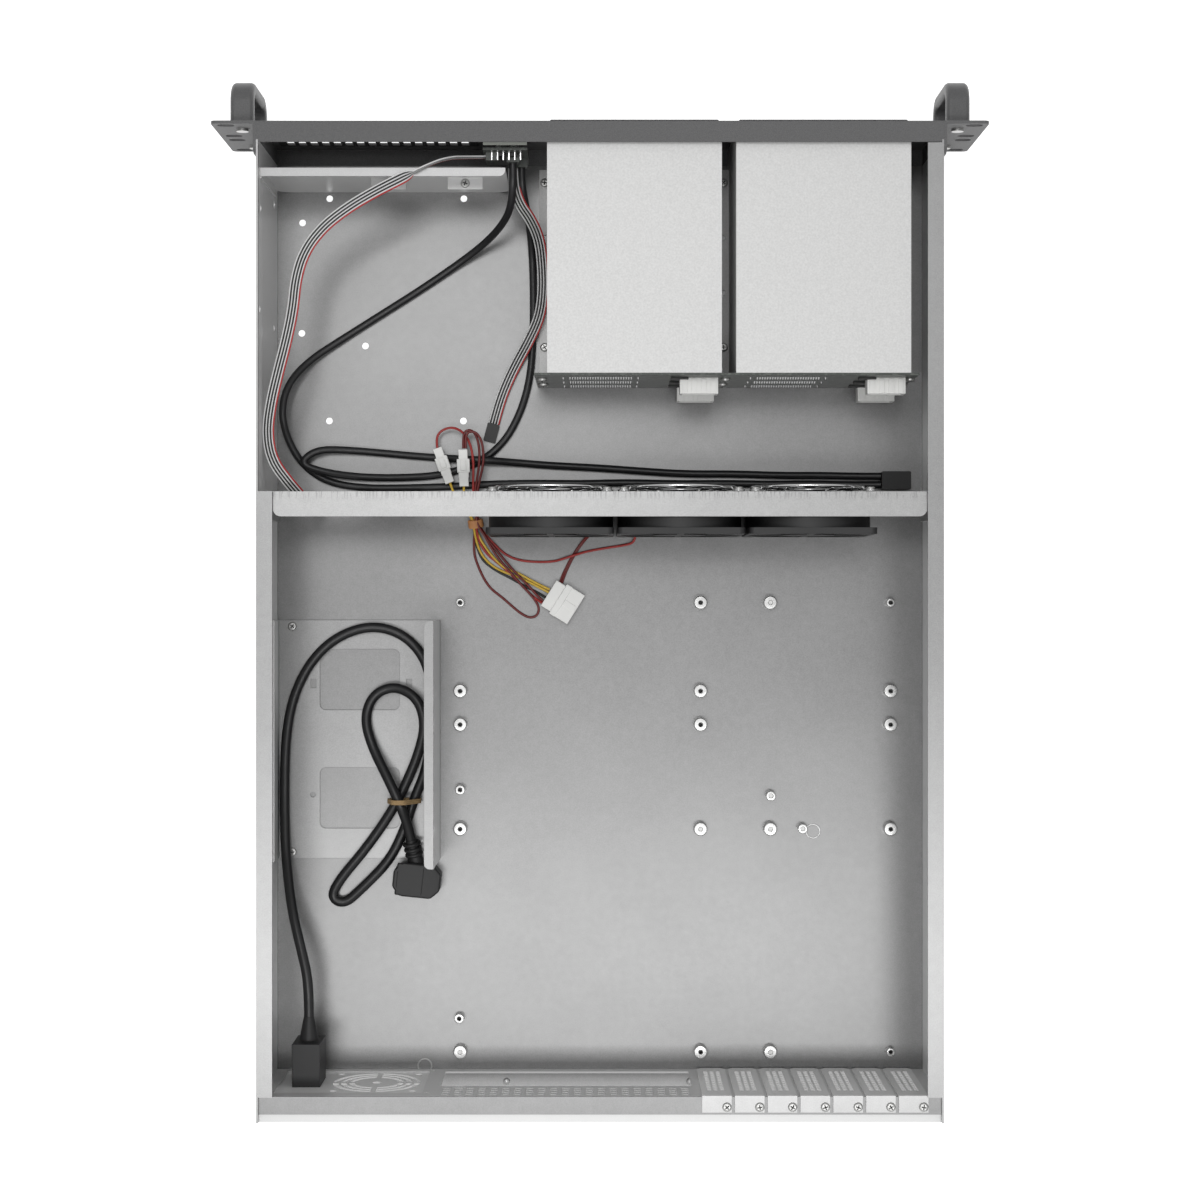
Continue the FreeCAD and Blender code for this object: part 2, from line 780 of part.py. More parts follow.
bay_middle = (left_cage[0] + left_cage[1]) / 2
bay_low = cage_floor + s.carrier_play
bay_high = bay_low + carrier_height
carrier_left = bay_middle - carrier_width / 2
carrier_right = bay_middle + carrier_width / 2
bezel_front = front - s.bezel_proud
bezel_back = bezel_front + s.bezel_depth
carrier_back = bezel_front + s.carrier_length
well_left = carrier_left + s.rail_width
well_right = carrier_right - s.rail_width - s.lever_grip
well_back = bezel_front + s.lever_well
lever_low = bay_low + s.lever_frame + s.lever_edge_play
lever_high = bay_high - s.lever_frame - s.lever_edge_play
pivot_across = carrier_left + s.lever_pivot_inset
pivot_along = bezel_front + s.lever_sheet / 2 + 0.3
pivot_round = s.lever_sheet / 2

carrier = new_body("carrier_form")
pad(carrier, "Z", [(carrier_left, bezel_front), (carrier_right, bezel_front),
                   (carrier_right, carrier_back),
                   (carrier_right - s.carrier_rail, carrier_back),
                   (carrier_right - s.carrier_rail, bezel_back),
                   (carrier_left + s.carrier_rail, bezel_back),
                   (carrier_left + s.carrier_rail, carrier_back), (carrier_left, carrier_back)],
    bay_low, bay_low + s.carrier_rail_height)
pad(carrier, "Z", rectangle((carrier_left, carrier_right), (bezel_front, bezel_back)),
    bay_low + s.carrier_rail_height - past, bay_high)
pad(carrier, "Z", rectangle((carrier_left + s.carrier_rail / 2, carrier_right - s.carrier_rail / 2),
                            (bezel_back - past, carrier_back)), bay_low, bay_low + s.carrier_floor)
window_start = bezel_back + s.carrier_rib
pocket(carrier, "Z", bay_low - past, bay_low + s.carrier_floor + past, outlines=[
    rectangle((carrier_left + 2 * s.carrier_rib, carrier_right - 2 * s.carrier_rib),
              (window_start + number * (s.carrier_window + s.carrier_rib),
               window_start + number * (s.carrier_window + s.carrier_rib) + s.carrier_window))
    for number in (0, 1)])
round_edges(carrier, s.lever_pin, lambda middle, run: near(middle.y, bezel_front))
pocket(carrier, "Y", bezel_front - past, well_back,
       outlines=[rectangle((well_left, carrier_right - s.rail_width),
                           (bay_low + s.lever_frame, bay_high - s.lever_frame))])
pocket(carrier, "Z", lever_low - s.lever_edge_play - s.lever_pin_reach - s.carrier_play,
       lever_high + s.lever_edge_play + s.lever_pin_reach + s.carrier_play,
       circles=[(pivot_across, pivot_along, s.lever_pin + s.lever_pin_play)])

lever = new_body("lever_form")
pad(lever, "Z", rectangle((pivot_across - pivot_round, well_right),
                          (pivot_along - pivot_round, pivot_along + pivot_round)),
    lever_low, lever_high)
round_edges(lever, pivot_round * 0.96,
            lambda middle, run: along(run, "Z") and middle.x < float(pivot_across))
round_edges(lever, s.lever_pin, lambda middle, run: near(middle.x, well_right))
lever_rise = (lever_high - lever_low) / 4
pocket(lever, "Y", pivot_along - pivot_round - past, pivot_along + pivot_round + past, outlines=[
    rectangle((pivot_across + s.lever_well, well_right - 2 * s.lever_grip),
              (lever_low + lever_rise, lever_high - lever_rise))])
lever_pin = rod("lever_pin", "Z", (pivot_across, pivot_along, lever_low - s.lever_pin_reach),
                s.lever_pin, lever_high - lever_low + 2 * s.lever_pin_reach)
lever_whole = fuse("lever_whole", [lever, lever_pin])
cage_step = s.cage_width + s.cage_gap
bays = [(number + 1, column, row) for number, (column, row) in
        enumerate((column, row) for column in (0, 1) for row in (0, 1, 2))]
for number, column, row in bays:
    shift = (cage_step * column, 0, bay_pitch * row)
    node(f"carrier_{number}", copy(f"carrier_{number}", carrier, shift))
    node(f"carrier_lever_{number}", copy(f"carrier_lever_{number}", lever_whole, shift))


# ---------------------------------------------------------------- backplanes
# A board closes the back of each cage. Drive sockets stand on its front, power sockets on
# its back.

board_back = cage_back + s.board_sheet
middle_left = left_cage[1] + s.cage_gap - s.backplane_middle_over
backplanes = {"left": (left_cage[0] - s.backplane_left_over, middle_left),
              "middle": (middle_left, middle_cage[1] + s.backplane_over)}
drive_sockets = []
power_sockets = []
for side, (low, high) in backplanes.items():
    plug_middle = (cages[side][0] + cages[side][1]) / 2 + s.drive_socket_offset
    board = new_body(f"backplane_{side}")
    pad(board, "Y", rectangle((low, high), (s.backplane_low, cage_top)), cage_back, board_back)
    node(f"backplane_{side}", board)
    for row in range(3):
        socket_middle = cage_floor + bay_pitch * (row + 0.5)
        drive_sockets.append(block("drive_socket",
            (plug_middle - s.drive_socket_width / 2, cage_back - s.drive_socket_depth,
             socket_middle - s.drive_socket_height / 2),
            (plug_middle + s.drive_socket_width / 2, cage_back,
             socket_middle + s.drive_socket_height / 2)))
    for row in (0, 2):
        base = s.backplane_low + s.board_sheet + bay_pitch * row
        left_end = cages[side][0] + s.board_sheet
        body = block("socket_body", (left_end, board_back, base),
                     (left_end + s.power_socket_width, board_back + s.power_socket_depth,
                      base + s.power_socket_height))
        well = block("socket_well",
                     (left_end + s.power_socket_wall, board_back + s.power_socket_wall,
                      base + s.power_socket_wall),
                     (left_end + s.power_socket_width - s.power_socket_wall,
                      board_back + s.power_socket_depth + past,
                      base + s.power_socket_height - s.power_socket_wall))
        power_sockets.append(cut("power_socket", body, well))
node("drive_sockets", group("drive_sockets", drive_sockets))
node("board_power_sockets", group("board_power_sockets", power_sockets))


# ---------------------------------------------------------------- controls
# A small upright board carries the USB sockets, two switches and the light pipes.

control_face = front + s.control_setback
control_back = control_face + s.board_sheet
board_plate = block("control_plate", (control_left, control_face, s.control_low),
                    (control_left + s.control_width, control_back, s.control_low + s.control_height))
switches = [block("control_switch",
                  (control_middle - s.switch_width / 2, control_face - s.switch_depth,
                   up - s.switch_width / 2),
                  (control_middle + s.switch_width / 2, control_face, up + s.switch_width / 2))
            for up in (s.power_button_height, s.reset_button_height)]
headers = [block("control_header",
                 (control_middle + across - s.header_width / 2, control_back, up - s.header_width / 2),
                 (control_middle + across + s.header_width / 2, control_back + s.header_depth,
                  up + s.header_width / 2))
           for across, up in ((-4.5, 60.0), (-9.5, 44.0), (-4.5, 44.0), (8.5, 66.0))]
node("control_board", fuse("control_board", [board_plate, *switches, *headers]))

usb = new_body("usb_sockets")
pad(usb, "Y", rectangle((control_middle - s.usb_width / 2, control_middle + s.usb_width / 2),
                        (s.usb_low, s.usb_low + s.usb_height)), front + s.usb_recess, control_face)
pocket(usb, "Y", front - past, front + s.usb_recess + s.usb_port_depth, outlines=[
    rectangle((control_middle - s.usb_port_width / 2, control_middle + s.usb_port_width / 2),
              (s.usb_low + s.usb_height * share - s.usb_port_height / 2,
               s.usb_low + s.usb_height * share + s.usb_port_height / 2))
    for share in (0.27, 0.73)])
tongues = [block("usb_tongue",
                 (control_middle - s.usb_port_width * 0.42, front + 2 * s.usb_recess,
                  s.usb_low + s.usb_height * share + s.usb_recess / 2),
                 (control_middle + s.usb_port_width * 0.42, front + s.usb_recess + s.usb_port_depth,
                  s.usb_low + s.usb_height * share + s.usb_recess / 2 + s.board_sheet))
           for share in (0.27, 0.73)]
node("usb_sockets", fuse("usb_sockets", [usb, *tongues]))

# A button is a cap with a flange behind the panel, just short of its switch.
flange_front = panel_back + s.button_play
flange_back = flange_front + s.button_flange_sheet
switch_front = control_face - s.switch_depth
cap_back = switch_front - s.button_travel - s.button_play
cap_front = front - s.button_proud
cap = new_body("power_button")
cap_half = s.power_button_width / 2
pad(cap, "Y", rectangle((control_middle - cap_half, control_middle + cap_half),
                        (s.power_button_height - cap_half, s.power_button_height + cap_half)),
    cap_front, flange_back)
round_edges(cap, s.lever_pin, lambda middle, run: along(run, "Y") or near(middle.y, cap_front))
flange_half = cap_half + s.button_flange
pad(cap, "Y", rectangle((control_middle - flange_half, control_middle + flange_half),
                        (s.power_button_height - flange_half, s.power_button_height + flange_half)),
    flange_front, flange_back)
stem_half = s.switch_width / 2
pad(cap, "Y", rectangle((control_middle - stem_half, control_middle + stem_half),
                        (s.power_button_height - stem_half, s.power_button_height + stem_half)),
    flange_back - s.button_flange_sheet / 2, cap_back)
node("power_button", cap)

reset_parts = [
    rod("reset_cap", "Y", (control_middle, cap_front, s.reset_button_height),
        s.reset_button_radius, cap_back - cap_front),
    rod("reset_flange", "Y", (control_middle, flange_front, s.reset_button_height),
        s.reset_button_radius + s.button_flange, s.button_flange_sheet)]
node("reset_button", fuse("reset_button", reset_parts))

node("indicator_lights", group("indicator_lights", [
    rod("light_pipe", "Y", (across, front - s.light_play, up), s.light_radius,
        control_face - front + s.light_play) for across, up in lights]))


# ---------------------------------------------------------------- front bracket
# A folded sheet across the open front compartment: a web with two round lower corners, a
# tab along the side wall, a top flange that points to the rear, and two screwed lugs.

bracket_front = front + s.bracket_setback
bracket_back = bracket_front + s.case_sheet
bracket_left = middle_cage[1] + s.bracket_clear
bracket_under = bracket_top - s.case_sheet
bracket = new_body("front_bracket")
pad(bracket, "Y", rectangle((bracket_left, inside), (floor, bracket_top)),
    bracket_front, bracket_back)
round_edges(bracket, s.bracket_corner, lambda middle, run: along(run, "Y")
            and near(middle.z, floor))
pad(bracket, "X", rectangle((bracket_back - s.case_sheet / 2, bracket_back + s.bracket_tab),
                            (floor + s.bracket_corner, bracket_under)),
    inside - s.case_sheet, inside)
pad(bracket, "Z", rectangle((bracket_left, inside), (bracket_front, bracket_front + s.bracket_flange)),
    bracket_under, bracket_top)
round_edges(bracket, s.bracket_flange * 0.7, lambda middle, run: along(run, "Z")
            and near(middle.x, bracket_left) and near(middle.y, bracket_front + s.bracket_flange))
lug_middles = [bracket_left + s.lug_first + s.lug_width / 2, bracket_left + s.lug_second + s.lug_width / 2]
lug_screw_along = bracket_back + s.lug_depth / 2
bracket_screws = []
for middle in lug_middles:
    pad(bracket, "Z", rectangle((middle - s.lug_width / 2, middle + s.lug_width / 2),
                                (bracket_back - s.case_sheet / 2, bracket_back + s.lug_depth)),
        s.lug_height - s.case_sheet, s.lug_height)
    bracket_screws.append(((middle, lug_screw_along, s.lug_height), DOWN))
sheet_screws += bracket_screws
node("front_bracket", cut("front_bracket", bracket, screw_holes("bracket_drill", bracket_screws)))


# ---------------------------------------------------------------- fan wall
# A folded bridge between the side walls: web, rear top flange and an end tab on each side,
# with three fan bores and two windows for cables.

fan_side = fan_wall_top - s.case_sheet - s.fan_top_gap - s.fan_low
fan_bore = fan_side / 2 - s.fan_rim
fan_middle_height = s.fan_low + fan_side / 2
fan_middles = [half - s.fan_first - (fan_side + s.fan_gap) * number for number in range(3)]
fan_front = fan_wall_back
fan_back = fan_front + s.fan_depth
hole_reach = fan_side / 2 - s.fan_hole_inset
fan_holes = [(middle + side * hole_reach, fan_middle_height + rise * hole_reach)
             for middle in fan_middles for side in (-1, 1) for rise in (-1, 1)]
wall_flange_end = half - s.top_lip
cable_top = s.cable_hole_low + s.cable_hole_height
cable_windows = [
    rectangle((inside - s.cable_hole_inset - s.cable_hole_width, inside - s.cable_hole_inset),
              (s.cable_hole_low, cable_top)),
    rectangle((fan_middles[0] + fan_side / 2 + s.fan_gap,
               fan_middles[0] + fan_side / 2 + s.fan_gap + s.cable_hole_width),
              (s.cable_hole_low, cable_top))]

wall = new_body("fan_wall")
pad(wall, "Y", rectangle((-inside, inside), (floor, fan_wall_top)), fan_wall_face, fan_wall_back)
pad(wall, "Z", rectangle((-wall_flange_end, wall_flange_end),
                         (fan_wall_face, fan_wall_face + s.fan_wall_flange)),
    fan_wall_top - s.case_sheet, fan_wall_top)
round_edges(wall, s.fan_wall_round, lambda middle, run: along(run, "Z")
            and near(middle.y, fan_wall_face + s.fan_wall_flange))
for side in (-inside, inside - s.case_sheet):
    pad(wall, "X", rectangle((fan_wall_face + s.case_sheet / 2, fan_wall_face + s.fan_wall_tab),
                             (floor, fan_wall_top - s.ear_round)), side, side + s.case_sheet)
pocket(wall, "Y", fan_wall_face - past, fan_wall_back + past, outlines=cable_windows)
round_edges(wall, s.cable_hole_round, lambda middle, run: along(run, "Y")
            and float(s.cable_hole_low) - 0.1 < middle.z < float(cable_top) + 0.1)
pocket(wall, "Y", fan_wall_face - past, fan_wall_back + past,
       circles=[*[(middle, fan_middle_height, fan_bore) for middle in fan_middles],
                *[(across, up, s.fan_hole) for across, up in fan_holes]])
wall_tab_along = fan_wall_face + s.fan_wall_tab * 0.6
wall_screws = [((inside - s.case_sheet, wall_tab_along, up), RIGHT) for up in (18, 62)]
wall_screws += [((s.case_sheet - inside, wall_tab_along, up), LEFT) for up in (18, 62)]
sheet_screws += wall_screws
tray_screws += wall_screws
node("fan_wall", cut("fan_wall", wall, screw_holes("fan_wall_drill", wall_screws)))


# ---------------------------------------------------------------- fans
# A fan frame is two square flanges joined by a round duct, so it has an open waist. Four
# struts carry the motor base and its axle at the back. The rotor has seven twisted blades.

first_fan = fan_middles[0]
fan_half = fan_side / 2
plates = new_body("fan_flanges")
plate_outline = rectangle((first_fan - fan_half, first_fan + fan_half), (s.fan_low, s.fan_low + fan_side))
pad(plates, "Y", plate_outline, fan_front, fan_back)
round_edges(plates, s.fan_corner, lambda middle, run: along(run, "Y"))
waist = rod("fan_waist", "Y", (first_fan, fan_front + s.fan_flange, fan_middle_height),
            fan_half * 1.6, s.fan_depth - 2 * s.fan_flange)
duct = rod("fan_duct", "Y", (first_fan, fan_front, fan_middle_height),
           fan_bore + s.fan_duct, s.fan_depth)
bore = rod("fan_bore", "Y", (first_fan, fan_front - past, fan_middle_height),
           fan_bore, s.fan_depth + 2 * past)
corner_bores = [rod("fan_corner_bore", "Y", (across, fan_front - past, up), s.fan_hole,
                    s.fan_depth + 2 * past) for across, up in fan_holes[:4]]
flanges = cut("fan_flange_pair", plates, waist)
flanges = cut("fan_flange_pair", flanges, group("fan_corner_bores", corner_bores))
shell = cut("fan_shell", fuse("fan_shell_whole", [flanges, duct]), bore)
struts = [block("fan_strut", (first_fan - fan_bore - s.fan_duct / 2, fan_back - s.hub_base,
                              fan_middle_height - s.strut_width / 2),
                (first_fan + fan_bore + s.fan_duct / 2, fan_back,
                 fan_middle_height + s.strut_width / 2)),
          block("fan_strut", (first_fan - s.strut_width / 2, fan_back - s.hub_base,
                              fan_middle_height - fan_bore - s.fan_duct / 2),
                (first_fan + s.strut_width / 2, fan_back,
                 fan_middle_height + fan_bore + s.fan_duct / 2))]
hub_base = rod("fan_hub_base", "Y", (first_fan, fan_back - s.hub_base, fan_middle_height),
               s.hub_radius, s.hub_base)
axle_reach = s.fan_depth * 0.6
axle = rod("fan_axle", "Y", (first_fan, fan_back - axle_reach, fan_middle_height), s.axle, axle_reach)
fan_form = fuse("fan_form", [shell, *struts, hub_base, axle])


def blade_shape():
    """One twisted blade, lofted from its root section to its tip section."""
    sheet = float(s.blade_sheet)
    chord = float(s.blade_chord)
    root = float(s.hub_radius) - 1.0
    tip = float(fan_bore) - float(s.blade_tip_play)
    sections = []
    for radius, pitch, share in ((root, float(s.blade_root_pitch), 0.7),
                                 (tip, float(s.blade_tip_pitch), 1.0)):
        turn = math.radians(pitch)
        reach = Vector(math.cos(turn), math.sin(turn), 0) * chord * share / 2
        skin = Vector(-math.sin(turn), math.cos(turn), 0) * sheet / 2
        centre = Vector(0, 0, radius)
        corners = [centre - reach - skin, centre + reach - skin, centre + reach + skin,
                   centre - reach + skin]
        sections.append(Part.makePolygon([*corners, corners[0]]))
    return Part.makeLoft(sections, True, True)


rotor_back = fan_back - s.hub_base - s.hub_play
rotor_front = fan_front + s.hub_base
hub_length = float(rotor_back - rotor_front)
blade_middle = float(rotor_front) + hub_length / 2
hub = Part.makeCylinder(float(s.hub_radius), hub_length, Vector(0, float(rotor_front), 0), Vector(0, 1, 0))
rim = [edge for edge in hub.Edges if near(edge.BoundBox.YMax, rotor_front)]
hub = hub.makeFillet(2.5, rim)
blades = []
for number in range(7):
    blade = blade_shape()
    blade.translate(Vector(0, blade_middle, 0))
    blade.rotate(Vector(0, 0, 0), Vector(0, 1, 0), 360 * number / 7)
    blades.append(blade)
sweep = Part.makeCylinder(float(fan_bore - s.blade_tip_play), hub_length,
                          Vector(0, float(rotor_front), 0), Vector(0, 1, 0))
spindle = Part.makeCylinder(float(s.axle + s.axle_play), float(axle_reach - s.hub_base),
                            Vector(0, float(fan_back - axle_reach) - 0.5, 0), Vector(0, 1, 0))
rotor_shape = hub.fuse(blades).removeSplitter().common(sweep).cut(spindle)
rotor_form = doc.addObject("Part::Feature", "rotor_form")
rotor_form.Shape = rotor_shape


def wire_section(radius, centre, across, rise):
    """A six-sided wire section round a point, spanned by two directions."""
    corners = [centre + (across * math.cos(math.radians(60 * number))
                         + rise * math.sin(math.radians(60 * number))) * radius
               for number in range(6)]
    return Part.Face(Part.makePolygon([*corners, corners[0]]))


def guard_shape():
    """A wire guard: two rings on four bent spokes, each with an eye round its corner screw."""
    wire = float(s.guard_wire)
    reach = float(s.guard_reach)
    inner = float(s.guard_inner)
    outer = float(fan_side / 2 - s.guard_rim)
    corner = float(hole_reach) * math.sqrt(2)
    hole = float(s.fan_hole)
    eye = hole + 2 * wire
    behind = 1.1 * wire - reach
    foot = corner - eye
    pieces = [wire_section(wire, Vector(radius, -reach, 0), Vector(1, 0, 0), BACKWARD)
              .revolve(Vector(0, 0, 0), BACKWARD, 360) for radius in (inner, outer)]
    for number in range(4):
        turn = math.radians(45 + 90 * number)
        way = Vector(math.cos(turn), 0, math.sin(turn))
        aside = Vector(math.sin(turn), 0, -math.cos(turn))
        start = way * (inner - 1.5 * wire) + BACKWARD * behind
        spoke = wire_section(wire, start, aside, BACKWARD)
        pieces.append(spoke.extrude(way * (foot + 0.5 * wire - inner + 1.5 * wire)))
        leg = wire_section(0.75 * wire, way * foot + BACKWARD * behind, aside, way)
        pieces.append(leg.extrude(BACKWARD * (-wire - behind)))
        ring = Part.makeCylinder(eye, 2 * wire, way * corner - BACKWARD * 2 * wire, BACKWARD)
        pieces.append(ring.cut(Part.makeCylinder(hole, 4 * wire, way * corner - BACKWARD * 3 * wire,
                                                 BACKWARD)))
    return pieces[0].fuse(pieces[1:])


guard_form = guard_shape()
guards = []
fan_screws = []
for number, middle in enumerate(fan_middles):
    shift = (middle - first_fan, 0, 0)
    node(f"fan_frame_{number + 1}", copy(f"fan_frame_{number + 1}", fan_form, shift))
    rotor = copy(f"fan_rotor_{number + 1}", rotor_form, (middle, 0, fan_middle_height))
    node(f"fan_rotor_{number + 1}", rotor)
    guard = guard_form.copy()
    guard.translate(Vector(float(middle), float(fan_wall_face), float(fan_middle_height)))
    guards.append(guard)
for across, up in fan_holes:
    guard_front = fan_wall_face - 2 * s.guard_wire
    core = rod("fan_screw_core", "Y", (across, guard_front, up), s.fan_hole - s.screw_play,
               2 * s.guard_wire + s.case_sheet + s.fan_flange)
    head = rod("fan_screw_head", "Y", (across, guard_front - s.screw_head_height, up),
               s.fan_hole + 0.8 * s.guard_wire, s.screw_head_height)
    fan_screws.append(fuse("fan_screw", [core, head]))
guard_group = doc.addObject("Part::Feature", "fan_guards")
guard_group.Shape = Part.makeCompound(guards)
node("fan_guards", guard_group)
node("fan_screws", group("fan_screws", fan_screws))


# ---------------------------------------------------------------- power supply shelf
# A folded tray in the rear corner: base, a low flange on the side wall and a tall inner wall.

shelf_right = inside
shelf_left = shelf_right - s.shelf_width
shelf_back = rear_wall - s.shelf_setback
shelf_front = shelf_back - s.shelf_length
shelf_floor = floor + s.shelf_sheet
shelf = new_body("supply_shelf")
pad(shelf, "Y", [(shelf_left, floor), (shelf_right, floor), (shelf_right, s.shelf_side_height),
                 (shelf_right - s.shelf_sheet, s.shelf_side_height),
                 (shelf_right - s.shelf_sheet, shelf_floor),
                 (shelf_left + s.shelf_sheet, shelf_floor),
                 (shelf_left + s.shelf_sheet, s.shelf_wall_height - s.shelf_sheet),
                 (shelf_left + s.shelf_flange, s.shelf_wall_height - s.shelf_sheet),
                 (shelf_left + s.shelf_flange, s.shelf_wall_height),
                 (shelf_left, s.shelf_wall_height)], shelf_front, shelf_back)
round_edges(shelf, s.shelf_flange * 0.6, lambda middle, run: along(run, "Z")
            and near(middle.x, shelf_left + s.shelf_flange))
window_left = shelf_left + s.shelf_window_side
for number in (0, 1):
    window_front = shelf_front + s.shelf_window_first + s.shelf_window_step * number
    pocket(shelf, "Z", floor - past, shelf_floor + past, outlines=[
        rectangle((window_left, window_left + s.shelf_window_width),
                  (window_front, window_front + s.shelf_window_length))])
round_edges(shelf, s.shelf_window_round, lambda middle, run: along(run, "Z")
            and float(window_left) - 0.1 < middle.x < float(window_left + s.shelf_window_width) + 0.1)
shelf_slot = (3.7, 5.9)
shelf_slot_front = shelf_front + 38.8
pocket(shelf, "Z", floor - past, shelf_floor + past, outlines=[
    rectangle((middle - shelf_slot[0] / 2, middle + shelf_slot[0] / 2),
              (shelf_slot_front, shelf_slot_front + shelf_slot[1]))
    for middle in (shelf_right - 23.6, shelf_left + 20.7)],
    circles=[(shelf_right - 23.3, shelf_front + 114.6, 1.75)])
shelf_screws = [((shelf_right - 9.8, shelf_front + 4.2, shelf_floor), DOWN),
                ((shelf_right - 9.8, shelf_back - 4.2, shelf_floor), DOWN)]
sheet_screws += shelf_screws
tray_screws += shelf_screws
node("supply_shelf", cut("supply_shelf", shelf, screw_holes("shelf_drill", shelf_screws)))


# ---------------------------------------------------------------- board standoffs
# Threaded collars on the board's hole pattern, and a few short studs.

board_first = inside - s.board_first_gap
board_columns = [board_first, board_first - s.board_column_b, board_first - s.board_column_c,
                 board_first - s.board_column_d]
board_rows = [rear_wall - distance for distance in (s.board_row_a, s.board_row_b, s.board_row_c,
                                                    s.board_row_d, s.board_row_e)]
collar_places = [(0, 0), (1, 0), (2, 0), (0, 1), (1, 1), (2, 1), (3, 1), (0, 2), (1, 2), (3, 2),
                 (0, 3), (1, 3), (3, 3), (1, 4), (2, 4)]
stud_places = [(3, 0), (0, 4), (3, 4)]


def standoff(place, radius):
    """A collar on the floor with a threaded bore."""
    column, row = place
    foot = (board_columns[column], board_rows[row], floor)
    body = rod("standoff_body", "Z", foot, radius, s.standoff_height)
    thread = rod("standoff_bore", "Z", foot, s.standoff_bore, s.standoff_height + past)
    return cut("standoff", body, thread)


node("board_standoffs", group("board_standoffs",
                              [standoff(place, s.standoff_radius) for place in collar_places]
                              + [standoff(place, s.stud_radius) for place in stud_places]))


# ---------------------------------------------------------------- rear panel
# An upright sheet with a stepped top flange, the board window, four rows of vent slits,
# seven slot windows and the window of the power supply end plate.

rear_back = rear_wall + s.rear_sheet
rear_under = rear_top - s.rear_sheet
rear_bend = rear_wall + s.rear_flange
end_right = inside - s.end_plate_side
end_left = end_right - s.end_plate_width
end_top = rear_top - s.end_plate_top_gap
board_window = ((inside - s.board_window_side - s.board_window_width, inside - s.board_window_side),
                (s.board_window_low, s.board_window_low + s.board_window_height))
slot_middles = [board_window[0][0] - s.slot_first - s.slot_pitch * number
                for number in range(7)]
slot_range = (s.slot_window_low, rear_top - s.slot_window_top_gap)

back = new_body("rear_panel")
pad(back, "X", [(rear_wall, floor), (rear_back, floor), (rear_back, rear_under),
                (rear_bend - s.rear_sheet, rear_under),
                (rear_bend - s.rear_sheet, rear_under - s.rear_step),
                (rear, rear_under - s.rear_step), (rear, rear_top - s.rear_step),
                (rear_bend, rear_top - s.rear_step), (rear_bend, rear_top),
                (rear_wall, rear_top)], -inside, inside)
pocket(back, "Y", rear_wall - past, rear_back + past, outlines=[
    rectangle(*board_window),
    rectangle((end_left + s.end_plate_lap, end_right - s.end_plate_lap),
              (s.end_plate_low + s.end_plate_lap, end_top - s.end_plate_lap)),
    *[rectangle((middle - s.slot_window_width / 2, middle + s.slot_window_width / 2), slot_range)
      for middle in slot_middles]])
slit_columns = 21
slit_first = (board_window[0][0] + board_window[0][1] - s.slit_pitch * (slit_columns - 1)
              - s.slit_width) / 2
slit_share = 0.6
slit_rows = 4
slit_row_pitch = (rear_top - s.slit_top_gap - s.slit_low) / (slit_rows - 1 + slit_share)
slits = pocket(back, "Y", rear_wall - past, rear_back + past, outlines=[
    rectangle((slit_first, slit_first + s.slit_width),
              (s.slit_low + slit_row_pitch * row, s.slit_low + slit_row_pitch * (row + slit_share)))
    for row in range(slit_rows)])
repeat(back, slits, "X", s.slit_pitch, slit_columns)
slot_screws = [((middle - s.cover_screw_offset, rear_back + s.rear_flange * 0.45,
                 rear_top + s.cover_sheet), DOWN) for middle in slot_middles]
sheet_screws += slot_screws
node("rear_panel", cut("rear_panel", back, screw_holes("rear_drill", slot_screws)))


# ---------------------------------------------------------------- slot covers
# A cover hangs inside its slot window from a tab on the top flange, held by one screw.

cover_front = rear_wall - s.cover_sheet
cover_form = new_body("cover_form")
cover_left = slot_middles[0] - s.cover_width / 2
cover_right = slot_middles[0] + s.cover_width / 2
pad(cover_form, "Y", [(cover_left + s.cover_chamfer, s.cover_low),
                      (cover_right - s.cover_chamfer, s.cover_low),
                      (cover_right, s.cover_low + s.cover_chamfer),
                      (cover_right, rear_top + s.cover_sheet),
                      (cover_left, rear_top + s.cover_sheet),
                      (cover_left, s.cover_low + s.cover_chamfer)], cover_front, rear_wall)
pad(cover_form, "Z", rectangle((cover_left, cover_right),
                               (cover_front + s.cover_sheet / 2, rear_wall + s.cover_tab)),
    rear_top, rear_top + s.cover_sheet)
cover_rows = 11
cover_base = slot_range[0] + s.cover_slit_pitch / 2
cover_slits = pocket(cover_form, "Y", cover_front - past, rear_wall + past, outlines=[
    rectangle((slot_middles[0] + s.cover_slit_pitch * column - s.cover_slit_width / 2,
               slot_middles[0] + s.cover_slit_pitch * column + s.cover_slit_width / 2),
              (cover_base, cover_base + s.cover_slit_height))
    for column in (-1, 0, 1)])
repeat(cover_form, cover_slits, "Z", s.cover_slit_row_pitch, cover_rows)
covers = [copy("slot_cover", cover_form, (-s.slot_pitch * number, 0, 0)) for number in range(7)]
node("slot_covers", cut("slot_covers", group("slot_cover_set", covers),
                        screw_holes("cover_drill", slot_screws)))


# ---------------------------------------------------------------- power supply end plate
# A removable plate outside the rear panel, with a ringed fan grille and the inlet's hole.

plate_back = rear_back + s.rear_sheet
grille_middle = inside - s.grille_side
inlet_right = inside - s.inlet_side + s.inlet_width / 2
inlet_left = inlet_right - s.inlet_width
inlet_top = s.inlet_low + s.inlet_height
plate = new_body("supply_end_plate")
pad(plate, "Y", rectangle((end_left, end_right), (s.end_plate_low, end_top)), rear_back, plate_back)
pocket(plate, "Y", rear_back - past, plate_back + past,
       outlines=[rectangle((inlet_left, inlet_right), (s.inlet_low, inlet_top))],
       circles=[(grille_middle, s.grille_height, s.grille_centre_hole),
                *[(grille_middle + side * s.grille_hole_spread / 2,
                   s.grille_height + rise * s.grille_hole_spread / 2, s.grille_hole)
                  for side in (-1, 1) for rise in (-1, 1)]])
grille_foot = (grille_middle, rear_back - past, s.grille_height)
grille_through = s.rear_sheet + 2 * past
slots = []
